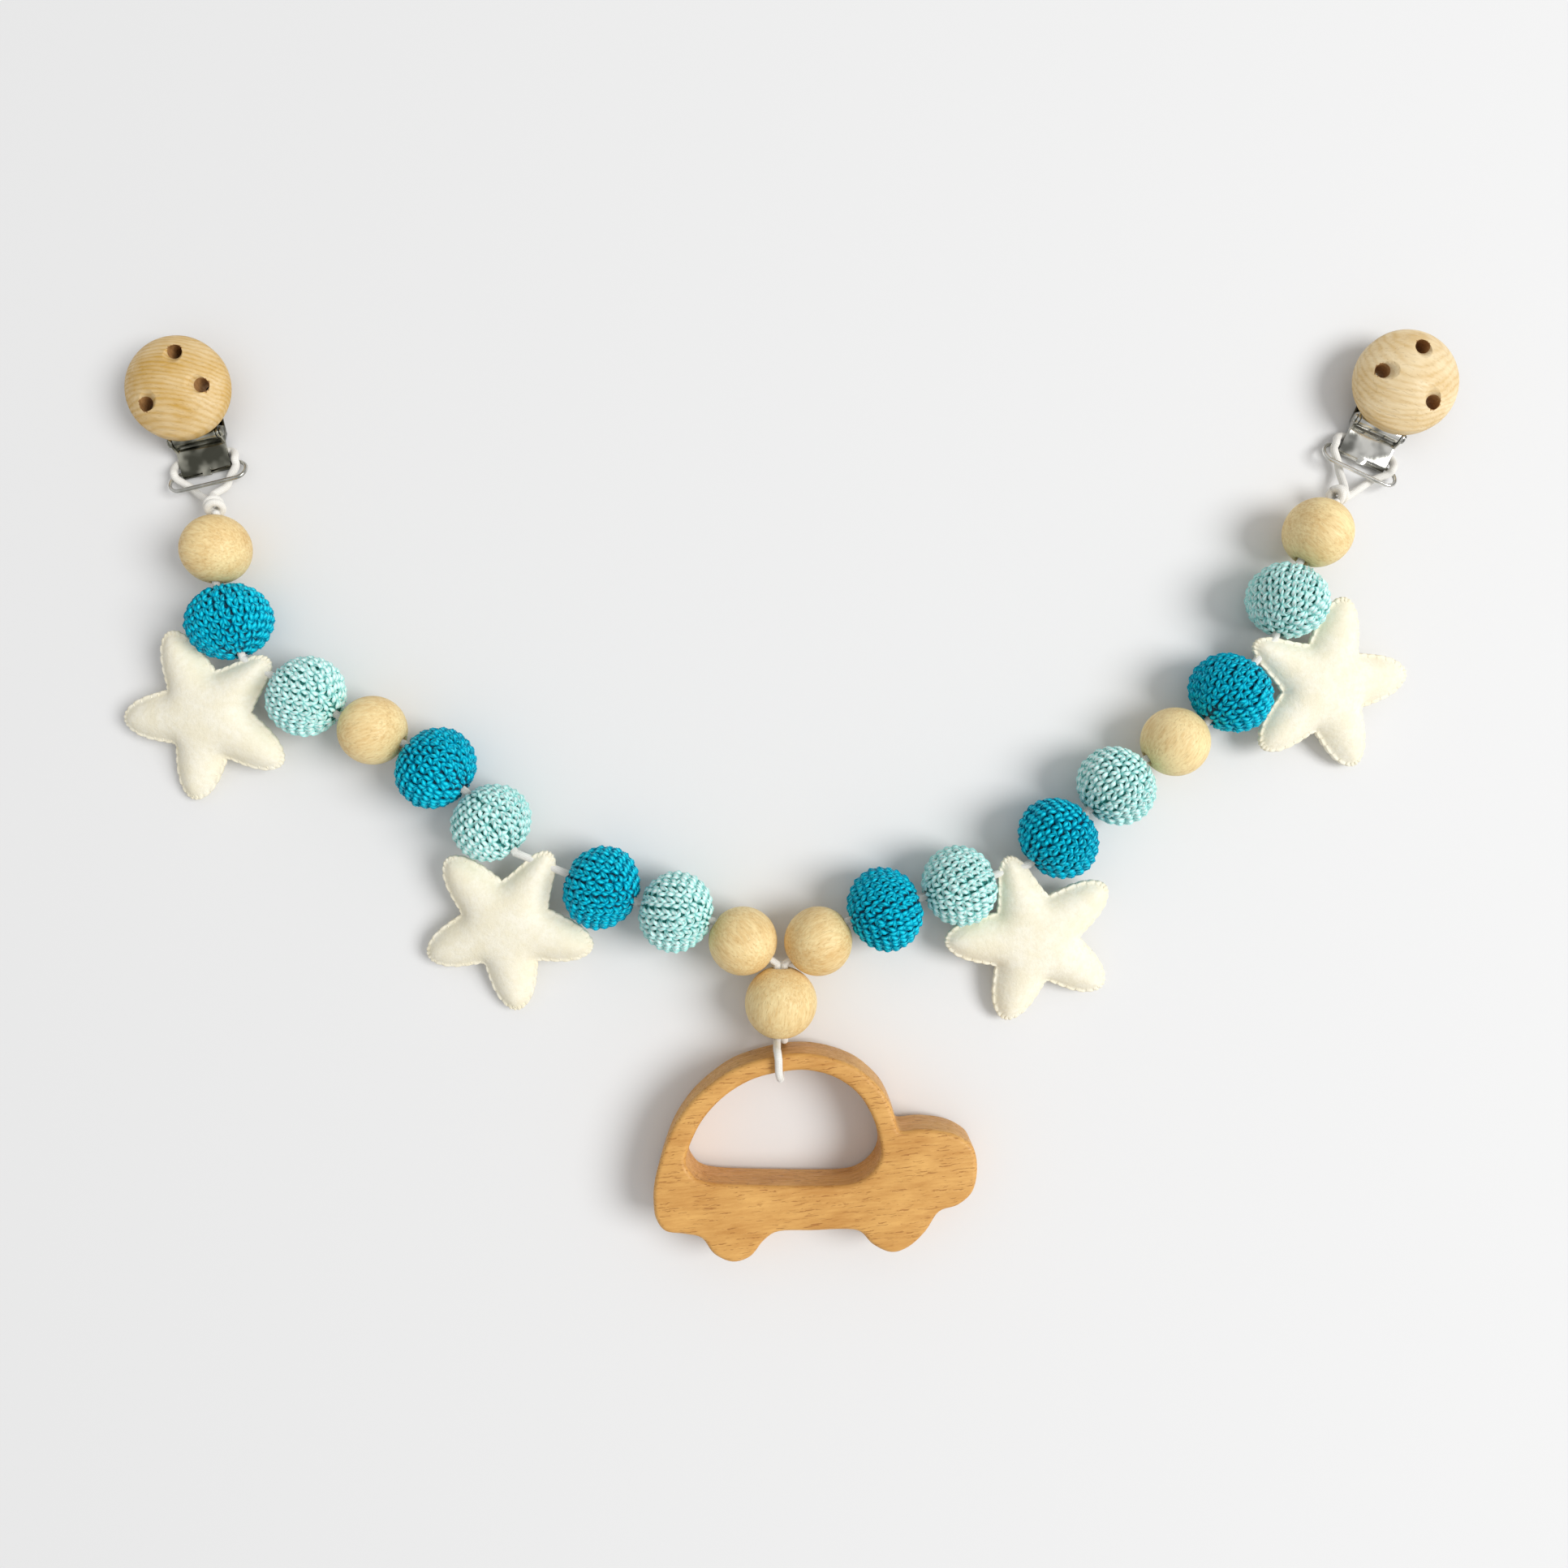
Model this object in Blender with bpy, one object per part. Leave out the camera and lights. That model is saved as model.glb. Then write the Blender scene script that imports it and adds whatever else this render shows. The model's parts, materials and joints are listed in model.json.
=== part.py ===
"""Pram chain: wooden balls, crocheted balls and felt stars strung on round elastic cord. A flat wooden car
hangs from its middle, and at each end a cord loop holds a clip with a wooden disc.

The chain lies on its back as on a table, +X to the right, +Y away from the car and +Z up. The origin is on
the car's flat back, in the wood below its window. Lengths are in metres, angles in degrees."""

import math

import bmesh
import bpy
from mathutils import Matrix, Vector
from mathutils.geometry import tessellate_polygon

# Fits
CLEARANCE = 0.0003
OVERRUN = 0.001

# Cord
CORD_DIAMETER = 0.0021
STRAND_SPACING = 0.0020
CORD_BEVEL_SEGMENTS = 2
# Angles from a cord's end along its rounding
CORD_END_ANGLES = (35.0, 90.0)

# Balls on the cord
CENTRE_BALL_DIAMETER = 0.0198
WOOD_BALL_DIAMETER = 0.0188
DARK_BALL_DIAMETER = 0.0236
MINT_BALL_DIAMETER = 0.0226
CROCHET_BALL_LENGTH = 0.0208
BALL_BORE = 0.0036
CENTRE_BALL_BORE = 0.0048
BALL_SPACING = 0.0006
BORE_CHAMFER = 0.0004
FIRST_BALL_LEAD = 0.0015
WOOD_BALL_SEGMENTS = 14
CROCHET_BALL_SEGMENTS = 14
BALL_RINGS = 7

# Felt stars
STAR_REACH = 0.0248
STAR_TIP_RADIUS = 0.0040
STAR_NOTCH_REACH = 0.0130
STAR_NOTCH_RADIUS = 0.0030
STAR_THICKNESS = 0.0104
STAR_SEAM_THICKNESS = 0.0016
STAR_THREAD_INSET = 0.0040
STAR_HOLE_DIAMETER = 0.0028
STAR_CENTRE_HEIGHT = 0.0068
STAR_ARMS = 5
# Points of an arm's round tip and of the notch beside it, as angles either way from their middles
STAR_TIP_ANGLES = (-68.0, -34.0, 0.0, 34.0, 68.0)
STAR_NOTCH_ANGLES = (-30.0, 30.0)
# How far in from the seam each ring of the puffed face lies, and how high, as shares
STAR_PUFF_SHARES = ((1.0, 0.0), (0.88, 0.38), (0.6, 0.80))

# Car, with its roof bar in the middle loop of the cord
CAR_LENGTH = 0.0871
CAR_HEIGHT = 0.0563
CAR_THICKNESS = 0.0150
CAR_EDGE_RADIUS = 0.0015
CAR_TURN = 3.3
LOOP_TO_ORIGIN = 0.0395
LOOP_CLEARANCE = 0.0004
PENDANT_GAP = 0.0006
PENDANT_CORNER_RADIUS = 0.0023
# Places from the roof bar along the silhouette, wheels and all, and along the window, as shares of the length
# and the height
CAR_OUTLINE_SHARES = (
    (-0.416, -0.680),
    (-0.388, -0.746),
    (-0.326, -0.766),
    (-0.276, -0.792),
    (-0.241, -0.872),
    (-0.185, -0.916),
    (-0.128, -0.894),
    (-0.084, -0.820),
    (-0.034, -0.779),
    (0.067, -0.784),
    (0.169, -0.787),
    (0.219, -0.805),
    (0.255, -0.869),
    (0.312, -0.914),
    (0.368, -0.891),
    (0.422, -0.820),
    (0.467, -0.728),
    (0.527, -0.700),
    (0.575, -0.637),
    (0.593, -0.531),
    (0.586, -0.430),
    (0.556, -0.378),
    (0.505, -0.339),
    (0.430, -0.318),
    (0.368, -0.322),
    (0.353, -0.304),
    (0.346, -0.254),
    (0.328, -0.171),
    (0.304, -0.104),
    (0.255, -0.024),
    (0.204, 0.026),
    (0.130, 0.068),
    (0.050, 0.085),
    (-0.040, 0.072),
    (-0.147, 0.028),
    (-0.226, -0.044),
    (-0.284, -0.118),
    (-0.326, -0.195),
    (-0.358, -0.273),
    (-0.391, -0.393),
    (-0.414, -0.510),
    (-0.420, -0.600),
)
CAR_WINDOW_SHARES = (
    (-0.311, -0.405),
    (-0.301, -0.458),
    (-0.277, -0.500),
    (-0.227, -0.524),
    (-0.127, -0.541),
    (0.075, -0.564),
    (0.182, -0.568),
    (0.232, -0.548),
    (0.268, -0.507),
    (0.289, -0.459),
    (0.296, -0.400),
    (0.282, -0.272),
    (0.242, -0.142),
    (0.175, -0.050),
    (0.096, -0.004),
    (0.020, 0.001),
    (-0.082, -0.026),
    (-0.172, -0.096),
    (-0.245, -0.200),
    (-0.290, -0.312),
)
# Step of a round corner, in degrees
CORNER_STEP_ANGLE = 30.0

# Wooden disc of a clip
DISC_DIAMETER = 0.0286
DISC_RIM_HEIGHT = 0.0034
DISC_HEIGHT = 0.0098
DISC_EDGE_RADIUS = 0.0012
DISC_HOLE_DIAMETER = 0.0040
DISC_HOLE_MOUTH = 0.0052
DISC_HOLE_CIRCLE_RADIUS = 0.0086
DISC_SEGMENTS = 20
LEFT_DISC_HOLE_ANGLES = (-4.0, 81.0, 222.0)
RIGHT_DISC_HOLE_ANGLES = (169.0, 74.0, 307.0)

# Metal work of a clip, along its length from the disc's centre
SHEET = 0.0007
CLIP_WIDTH = 0.0140
PIN_SETBACK = 0.01275
PIN_HEIGHT = 0.0052
PIN_DIAMETER = 0.0015
PIN_HEAD_DIAMETER = 0.0027
PIN_HEAD_THICKNESS = 0.0005
EAR_RADIUS = 0.0018
EAR_FOOT_LENGTH = 0.0060
KNUCKLE_SLOT = 0.0005
KNUCKLE_WIDTH = 0.0039
CURL_SETBACK = 0.0209
TAB_WIDTH = 0.0024
TAB_LENGTH = 0.0022
JOGGLE_LENGTH = 0.0026
JAW_REACH = 0.0118
JAW_LIP_HEIGHT = 0.0022
LEVER_REACH = 0.0098
INSERT_WIDTH = 0.0110
INSERT_LENGTH = 0.0078
INSERT_HEIGHT = 0.0013
TOOTH_HEIGHT = 0.0008
TOOTH_COUNT = 4
WIRE_DIAMETER = 0.0011
BAIL_LENGTH = 0.0230
BAIL_PITCH = 0.0060
BAIL_SLOPE = 30.0

# Knot and end loop
KNOT_WRAP_RADIUS = 0.00175
KNOT_WRAP_SPREAD = 0.0019
KNOT_WRAP_LEAN = 22.0
KNOT_DROP = 0.0030
KNOT_TO_LOOP = 0.0040
KNOT_TO_LOOP_DROP = 0.0026
LOOP_SIDE_BULGE = 0.0012
# How far to the side the loop lies at three places from the knot to the tail, as shares of its half width
LOOP_SPREAD_SHARES = (0.50, 0.68, 1.0)

# Strung order from the middle out: kind of ball, heading of its bore above the horizontal, and the star after
# it as its room on the cord, its place in that room as a share, and its lean outward from square to the cord
LEFT_STAR_ROOMS = (0.0146, 0.0096)
RIGHT_STAR_ROOMS = (0.0092, 0.0088)
LEFT_STRING = (
    ("wood", 34.0, None),
    ("mint", 14.0, None),
    ("dark", 22.0, (LEFT_STAR_ROOMS[0], 0.45, 10.0)),
    ("mint", 51.0, None),
    ("dark", 38.0, None),
    ("wood", 23.0, None),
    ("mint", 31.0, (LEFT_STAR_ROOMS[1], 0.46, 20.0)),
    ("dark", 70.0, None),
    ("wood", 90.0, None),
)
RIGHT_STRING = (
    ("wood", 34.0, None),
    ("dark", 18.0, None),
    ("mint", 17.0, (RIGHT_STAR_ROOMS[0], 0.47, 2.0)),
    ("dark", 42.0, None),
    ("mint", 42.0, None),
    ("wood", 31.0, None),
    ("dark", 51.0, (RIGHT_STAR_ROOMS[1], 0.5, 11.0)),
    ("mint", 72.0, None),
    ("wood", 59.0, None),
)

# Where each clip lies: heading from loop to disc, heading from the last ball to the knot, the knot's level
# run to it, and the knot's place behind the disc's centre and to the side
LEFT_CLIP_HEADING = 103.4
LEFT_KNOT_HEADING = 125.0
LEFT_KNOT_BEHIND_DISC = 0.0341
LEFT_KNOT_SIDE = 0.0020
RIGHT_CLIP_HEADING = 65.0
RIGHT_KNOT_HEADING = 60.0
RIGHT_KNOT_BEHIND_DISC = 0.0361
RIGHT_KNOT_SIDE = -0.0038
KNOT_LEVEL_RUN = 0.0029

# Finishes: colour, roughness, metallic
FINISHES = {
    "bead_wood": ((0.73, 0.50, 0.26), 0.5, 0.0),
    "dark_yarn": ((0.01, 0.26, 0.47), 0.55, 0.0),
    "mint_yarn": ((0.40, 0.74, 0.70), 0.65, 0.0),
    "felt": ((0.95, 0.93, 0.86), 0.95, 0.0),
    "cord": ((0.90, 0.88, 0.84), 0.8, 0.0),
    "car_wood": ((0.64, 0.34, 0.12), 0.5, 0.0),
    "disc_wood": ((0.80, 0.66, 0.46), 0.55, 0.0),
    "nickel": ((0.70, 0.68, 0.65), 0.25, 1.0),
    "insert_plastic": ((0.85, 0.85, 0.83), 0.5, 0.0),
}

CORD_RADIUS = CORD_DIAMETER / 2
CURL_RADIUS = WIRE_DIAMETER / 2 + CLEARANCE
TAIL_HEIGHT = 2 * CURL_RADIUS + 2 * SHEET
BARREL_BORE_RADIUS = PIN_DIAMETER / 2 + CLEARANCE
LEVER_WIDTH = CLIP_WIDTH - 2 * SHEET - 2 * CLEARANCE
WORLD = {}


def turn(angle, axis):
    return Matrix.Rotation(math.radians(angle), 4, axis)


def level(angle, length=1.0):
    """A level vector at an angle in degrees from +X."""
    return Vector((math.cos(math.radians(angle)), math.sin(math.radians(angle)), 0)) * length


def finish(name):
    """The named material, made the first time that it is asked for."""
    material = bpy.data.materials.get(name)
    if material is None:
        colour, roughness, metallic = FINISHES[name]
        material = bpy.data.materials.new(name)
        material.use_nodes = True
        shader = material.node_tree.nodes["Principled BSDF"]
        shader.inputs["Base Color"].default_value = (*colour, 1)
        shader.inputs["Roughness"].default_value = roughness
        shader.inputs["Metallic"].default_value = metallic
    return material


def hang(item, matrix, parent):
    """Puts an object at a world matrix, held by its parent."""
    WORLD[item] = matrix
    if parent is not None:
        item.parent = parent
        item.matrix_parent_inverse = WORLD[parent].inverted()
    item.matrix_basis = matrix
    return item


def pivot(name, matrix, parent):
    """An empty on a joint's axis, for the pieces that turn on it."""
    empty = bpy.data.objects.new(name, None)
    empty.empty_display_size = CORD_DIAMETER
    bpy.context.scene.collection.objects.link(empty)
    return hang(empty, matrix, parent)


def piece(name, mesh, matrix, parent, material, sharp=35.0):
    """A named piece of the chain."""
    item = bpy.data.objects.new(name, mesh)
    bpy.context.scene.collection.objects.link(item)
    mesh.materials.append(finish(material))
    mesh.shade_smooth()
    mesh.set_sharp_from_angle(angle=math.radians(sharp))
    return hang(item, matrix, parent)


def helper(owner, mesh, operation, place=None):
    """Cuts a helper mesh from a piece, or joins it on. Its place is in the piece's own frame."""
    item = bpy.data.objects.new(owner.name + "_" + operation.lower(), mesh)
    bpy.context.scene.collection.objects.link(item)
    item.hide_render = True
    item.display_type = "WIRE"
    hang(item, WORLD[owner] @ (place or Matrix.Identity(4)), owner)
    modifier = owner.modifiers.new(operation.title(), "BOOLEAN")
    modifier.operation = operation
    modifier.solver = "EXACT"
    modifier.object = item


def mesh_of(shape, name):
    mesh = bpy.data.meshes.new(name)
    shape.to_mesh(mesh)
    shape.free()
    return mesh


def turned(name, profile, segments):
    """A closed profile of radius and height, turned round Z. Points with no radius are poles."""
    shape = bmesh.new()
    verts = [shape.verts.new((radius, 0, height)) for radius, height in profile]
    pairs = list(zip(verts, verts[1:]))
    if profile[0][0] > 0:
        pairs.append((verts[-1], verts[0]))
    edges = [shape.edges.new(pair) for pair in pairs]
    bmesh.ops.spin(
        shape,
        geom=verts + edges,
        cent=(0, 0, 0),
        axis=(0, 0, 1),
        angle=math.tau,
        steps=segments,
        use_merge=True,
    )
    bmesh.ops.remove_doubles(shape, verts=shape.verts, dist=CLEARANCE / 100)
    bmesh.ops.recalc_face_normals(shape, faces=shape.faces)
    return mesh_of(shape, name)


def rod(name, radius, length, sides=12):
    """A plain rod along Z, centred."""
    shape = bmesh.new()
    bmesh.ops.create_cone(
        shape, cap_ends=True, segments=sides, radius1=radius, radius2=radius, depth=length
    )
    return mesh_of(shape, name)


def block(name, low, high):
    """A box between two corners."""
    shape = bmesh.new()
    bmesh.ops.create_cube(shape, size=1.0)
    for vert in shape.verts:
        vert.co = Vector([a + (b - a) * (c + 0.5) for a, b, c in zip(low, high, vert.co)])
    return mesh_of(shape, name)


def swept(name, points, radii, radius, closed=False):
    """A round tube along points, as a curve with a bevel and filled caps, made a mesh."""
    curve = bpy.data.curves.new(name, "CURVE")
    curve.dimensions = "3D"
    curve.bevel_depth = radius
    curve.bevel_resolution = CORD_BEVEL_SEGMENTS
    curve.render_resolution_u = 0
    curve.use_fill_caps = not closed
    curve.twist_mode = "MINIMUM"
    spline = curve.splines.new("POLY")
    spline.points.add(len(points) - 1)
    for point, place, share in zip(spline.points, points, radii):
        point.co = (*place, 1)
        point.radius = share
    spline.use_cyclic_u = closed
    item = bpy.data.objects.new(name, curve)
    bpy.context.scene.collection.objects.link(item)
    bpy.context.view_layer.update()
    mesh = bpy.data.meshes.new_from_object(item.evaluated_get(bpy.context.evaluated_depsgraph_get()))
    bpy.data.objects.remove(item)
    bpy.data.curves.remove(curve)
    shape = bmesh.new()
    shape.from_mesh(mesh)
    bmesh.ops.remove_doubles(shape, verts=shape.verts, dist=CLEARANCE / 100)
    bmesh.ops.recalc_face_normals(shape, faces=shape.faces)
    shape.to_mesh(mesh)
    shape.free()
    return mesh


def cord_length(name, path, radius=CORD_RADIUS):
    """A stretch of cord along a path, its two ends rounded within the path's length."""
    points = []
    radii = []
    first = (path[1] - path[0]).normalized()
    last = (path[-1] - path[-2]).normalized()
    ends = [(1 - math.cos(math.radians(a)), math.sin(math.radians(a))) for a in CORD_END_ANGLES]
    for setback, share in ends:
        points.append(path[0] + first * radius * setback)
        radii.append(share)
    for place in path[1:-1]:
        points.append(place)
        radii.append(1)
    for setback, share in reversed(ends):
        points.append(path[-1] - last * radius * setback)
        radii.append(share)
    return swept(name, points, radii, radius)


def smooth(route, steps, closed=False):
    """Points on one smooth curve through a route's own points."""
    path = []
    if closed:
        padded = [route[-1], *route, *route[:2]]
    else:
        padded = [2 * route[0] - route[1], *route, 2 * route[-1] - route[-2]]
    for a, b, c, d in zip(padded, padded[1:], padded[2:], padded[3:]):
        for step in range(steps):
            t = step / steps
            path.append(
                b
                + (c - a) * (t / 2)
                + (2 * a - 5 * b + 4 * c - d) * (t * t / 2)
                + (3 * b - a - 3 * c + d) * (t**3 / 2)
            )
    return path if closed else [*path, route[-1]]


def rounded(corners, step):
    """An outline with an arc in place of each corner, from points and corner radii."""
    outline = []
    count = len(corners)
    for index, (place, radius) in enumerate(corners):
        previous = corners[index - 1][0] - place
        following = corners[(index + 1) % count][0] - place
        before = previous.normalized()
        after = following.normalized()
        opening = before.angle(after)
        room = min(previous.length, following.length) / 2
        setback = min(radius / math.tan(opening / 2), room)
        radius = setback * math.tan(opening / 2)
        centre = place + (before + after).normalized() * math.hypot(setback, radius)
        start = place + before * setback - centre
        sweep = math.pi - opening
        side = 1 if start.x * (place - centre).y - start.y * (place - centre).x > 0 else -1
        parts = max(1, math.ceil(math.degrees(sweep) / step))
        for part in range(parts + 1):
            outline.append(centre + Matrix.Rotation(side * sweep * part / parts, 2) @ start)
    return outline


def inset(outline, distance):
    """An anticlockwise outline moved in by a distance, with mitred corners."""
    moved = []
    count = len(outline)
    for index, place in enumerate(outline):
        a = (place - outline[index - 1]).normalized()
        b = (outline[(index + 1) % count] - place).normalized()
        normal = Vector((-a.y - b.y, a.x + b.x))
        moved.append(place + normal * (distance / (1 + a.dot(b))))
    return moved


def slab(name, outlines, thickness, edge, edge_steps):
    """A board from an anticlockwise outline and clockwise holes, with its edges rounded."""
    shape = bmesh.new()
    levels = []
    for step in range(edge_steps + 1):
        angle = math.pi / 2 * step / edge_steps
        levels.append((edge * (1 - math.sin(angle)), edge * (1 - math.cos(angle))))
    levels += [(setback, thickness - height) for setback, height in reversed(levels)]
    rings = []
    for setback, height in levels:
        ring = []
        for outline in outlines:
            ring.append([shape.verts.new((*place, height)) for place in inset(outline, setback)])
        rings.append(ring)
    for lower, upper in zip(rings, rings[1:]):
        for low_loop, high_loop in zip(lower, upper):
            for index, low in enumerate(low_loop):
                last = index - 1
                shape.faces.new((low_loop[last], low, high_loop[index], high_loop[last]))
    for ring in (rings[0], rings[-1]):
        flat = [vert for loop in ring for vert in loop]
        for corners in tessellate_polygon([[vert.co for vert in loop] for loop in ring]):
            face = [flat[corner] for corner in corners]
            shape.faces.new(face)
    bmesh.ops.recalc_face_normals(shape, faces=shape.faces)
    return mesh_of(shape, name)


def extruded(name, outline, width):
    """A side outline of length and height, extruded to a width across X and centred there."""
    shape = bmesh.new()
    face = shape.faces.new([shape.verts.new((-width / 2, y, z)) for y, z in outline])
    result = bmesh.ops.extrude_face_region(shape, geom=[face])
    moved = [item for item in result["geom"] if isinstance(item, bmesh.types.BMVert)]
    bmesh.ops.translate(shape, verts=moved, vec=(width, 0, 0))
    bmesh.ops.recalc_face_normals(shape, faces=shape.faces)
    return mesh_of(shape, name)


def sheet_outline(line, thickness):
    """The side outline of bent sheet metal, from the line of one face. It is thick to the line's right."""
    far = []
    for index, place in enumerate(line):
        a = (place - line[index - 1]).normalized() if index else None
        b = (line[index + 1] - place).normalized() if index + 1 < len(line) else None
        a, b = a or b, b or a
        far.append(place + Vector((a.y + b.y, -a.x - b.x)) * (thickness / (1 + a.dot(b))))
    return [*line, *reversed(far)]


def arc(centre, radius, start, end, steps):
    """Points on an arc, by angles in degrees."""
    return [
        centre + level(start + (end - start) * step / steps, radius).xy
        for step in range(steps + 1)
    ]


def ball_profile(diameter, length, bore):
    """The turned profile of a ball with a chamfered bore, from its top mouth down and back up the bore."""
    radius = diameter / 2
    half = length / 2
    mouth = bore / 2 + BORE_CHAMFER
    start = math.asin(mouth / radius)
    profile = []
    for ring in range(BALL_RINGS + 1):
        angle = start + (math.pi - 2 * start) * ring / BALL_RINGS
        profile.append((radius * math.sin(angle), half * math.cos(angle)))
    inner = profile[0][1] - BORE_CHAMFER
    return [*profile, (bore / 2, -inner), (bore / 2, inner)]


BALLS = {
    "centre": (CENTRE_BALL_DIAMETER, CENTRE_BALL_DIAMETER, CENTRE_BALL_BORE, WOOD_BALL_SEGMENTS, "bead_wood"),
    "wood": (WOOD_BALL_DIAMETER, WOOD_BALL_DIAMETER, BALL_BORE, WOOD_BALL_SEGMENTS, "bead_wood"),
    "dark": (DARK_BALL_DIAMETER, CROCHET_BALL_LENGTH, BALL_BORE, CROCHET_BALL_SEGMENTS, "dark_yarn"),
    "mint": (MINT_BALL_DIAMETER, CROCHET_BALL_LENGTH, BALL_BORE, CROCHET_BALL_SEGMENTS, "mint_yarn"),
}


def ball(name, kind, matrix, parent):
    """A ball of the chain, its bore along the cord. A crocheted one has its wooden core inside its cover."""
    diameter, length, bore, segments, material = BALLS[kind]
    mesh = turned(name, ball_profile(diameter, length, bore), segments)
    return piece(name, mesh, matrix @ turn(90, "Y"), parent, material)


def star(name, matrix, parent, lean):
    """A stuffed felt star, threaded on the cord near the tip of one arm. The cord runs along X."""
    half = STAR_THICKNESS / 2
    seam = STAR_SEAM_THICKNESS / 2
    thread = STAR_REACH - STAR_THREAD_INSET
    outline = []
    for arm in range(STAR_ARMS):
        middle = 90 + lean + 360 / STAR_ARMS * arm
        tip = level(middle, STAR_REACH - STAR_TIP_RADIUS)
        outline += [tip + level(middle + angle, STAR_TIP_RADIUS) for angle in STAR_TIP_ANGLES]
        hollow = middle + 180 / STAR_ARMS
        notch = level(hollow, STAR_NOTCH_REACH + STAR_NOTCH_RADIUS)
        outline += [notch + level(hollow + 180 - angle, STAR_NOTCH_RADIUS) for angle in STAR_NOTCH_ANGLES]
    shape = bmesh.new()
    rings = []
    for side in (1, -1):
        for share, rise in STAR_PUFF_SHARES:
            height = side * (seam + (half - seam) * rise)
            rings.append([shape.verts.new(place * share + Vector((0, 0, height))) for place in outline])
    poles = [shape.verts.new((0, 0, side * half)) for side in (1, -1)]
    count = len(STAR_PUFF_SHARES)
    chains = [rings[:count], rings[count:], [rings[0], rings[count]]]
    for chain in chains:
        for outer, inner in zip(chain, chain[1:]):
            for index, vert in enumerate(outer):
                shape.faces.new((outer[index - 1], vert, inner[index], inner[index - 1]))
    for ring, pole in ((rings[count - 1], poles[0]), (rings[-1], poles[1])):
        for index, vert in enumerate(ring):
            shape.faces.new((ring[index - 1], vert, pole))
    bmesh.ops.recalc_face_normals(shape, faces=shape.faces)
    mesh = mesh_of(shape, name)
    mesh.transform(Matrix.Translation(-level(90 + lean, thread)))
    item = piece(name, mesh, matrix, parent, "felt", sharp=60.0)
    hole = rod(name + "_hole", STAR_HOLE_DIAMETER / 2, 2 * STAR_REACH, 8)
    helper(item, hole, "DIFFERENCE", turn(90, "Y"))
    return item


def car_curve(shares):
    """A smooth closed outline in the car's plane, from shares of its length and height."""
    return smooth([Vector((x * CAR_LENGTH, y * CAR_HEIGHT)) for x, y in shares], 2, closed=True)


def crossing(outline, x):
    """The heights at which an outline crosses a level x, lowest first."""
    heights = []
    for a, b in zip(outline, [*outline[1:], outline[0]]):
        if (a.x - x) * (b.x - x) < 0:
            heights.append(a.y + (b.y - a.y) * (x - a.x) / (b.x - a.x))
    return sorted(heights)


def disc_profile():
    """A disc with a flat back and a domed face, from the top of the dome down and in along the back."""
    radius = DISC_DIAMETER / 2
    rise = DISC_HEIGHT - DISC_RIM_HEIGHT
    dome = (radius**2 + rise**2) / (2 * rise)
    edge = math.asin(radius / dome)
    profile = []
    for ring in range(6):
        angle = edge * ring / 5
        profile.append((dome * math.sin(angle), DISC_HEIGHT - dome * (1 - math.cos(angle))))
    profile.append((radius, DISC_EDGE_RADIUS))
    profile.append((radius - DISC_EDGE_RADIUS, 0))
    profile.append((0, 0))
    return profile


def disc(name, matrix, parent, hole_angles):
    """The wooden disc of a clip: flat back, domed face, three holes with a countersunk mouth."""
    item = piece(name, turned(name, disc_profile(), DISC_SEGMENTS), matrix, parent, "disc_wood")
    drill = DISC_HOLE_DIAMETER / 2
    mouth = DISC_HOLE_MOUTH / 2
    depth = mouth - drill
    rise = DISC_HEIGHT - DISC_RIM_HEIGHT
    face = DISC_HEIGHT - rise * (DISC_HOLE_CIRCLE_RADIUS / (DISC_DIAMETER / 2)) ** 2
    profile = [
        (0, DISC_HEIGHT + OVERRUN),
        (mouth, DISC_HEIGHT + OVERRUN),
        (mouth, face),
        (drill, face - depth),
        (drill, -OVERRUN),
        (0, -OVERRUN),
    ]
    for angle in hole_angles:
        cutter = turned(name + "_drill", profile, 10)
        helper(item, cutter, "DIFFERENCE", Matrix.Translation(level(angle, DISC_HOLE_CIRCLE_RADIUS)))
    return item


def clip_base(name, matrix, parent):
    """The stamped base: lower jaw with a lip, joggle up to the tail, curl round the bail, two ears."""
    curl = Vector((-CURL_SETBACK, SHEET + CURL_RADIUS))
    tail_under = TAIL_HEIGHT - SHEET
    joggle_end = -PIN_SETBACK - EAR_FOOT_LENGTH / 3
    line = [
        Vector((JAW_REACH, JAW_LIP_HEIGHT)),
        Vector((JAW_REACH, 0)),
        Vector((joggle_end + JOGGLE_LENGTH, 0)),
        Vector((joggle_end, tail_under)),
    ]
    line += arc(curl, CURL_RADIUS, 90, 320, 8)
    base = extruded(name, sheet_outline(line, SHEET), CLIP_WIDTH)
    item = piece(name, base, matrix, parent, "nickel")
    pin = Vector((-PIN_SETBACK, PIN_HEIGHT))
    ear = [
        Vector((-PIN_SETBACK + EAR_FOOT_LENGTH / 2, SHEET / 2)),
        *arc(pin, EAR_RADIUS, 0, 180, 6),
        Vector((-PIN_SETBACK - EAR_FOOT_LENGTH / 2, TAIL_HEIGHT - SHEET / 2)),
        Vector((joggle_end, TAIL_HEIGHT - SHEET / 2)),
        Vector((joggle_end + JOGGLE_LENGTH, SHEET / 2)),
    ]
    for side in (1, -1):
        shift = Matrix.Translation((side * (CLIP_WIDTH - SHEET) / 2, 0, 0))
        helper(item, extruded(name + "_ear", ear, SHEET), "UNION", shift)
    tab = block(
        name + "_tab",
        (-TAB_WIDTH / 2, -CURL_SETBACK - TAB_LENGTH, TAIL_HEIGHT - SHEET + CLEARANCE / 10),
        (TAB_WIDTH / 2, -CURL_SETBACK + SHEET, TAIL_HEIGHT - CLEARANCE / 10),
    )
    helper(item, tab, "UNION")
    hole = rod(name + "_pin_hole", BARREL_BORE_RADIUS, 2 * CLIP_WIDTH)
    place = Matrix.Translation((0, pin.x, pin.y)) @ turn(90, "Y")
    helper(item, hole, "DIFFERENCE", place)
    return item


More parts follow.
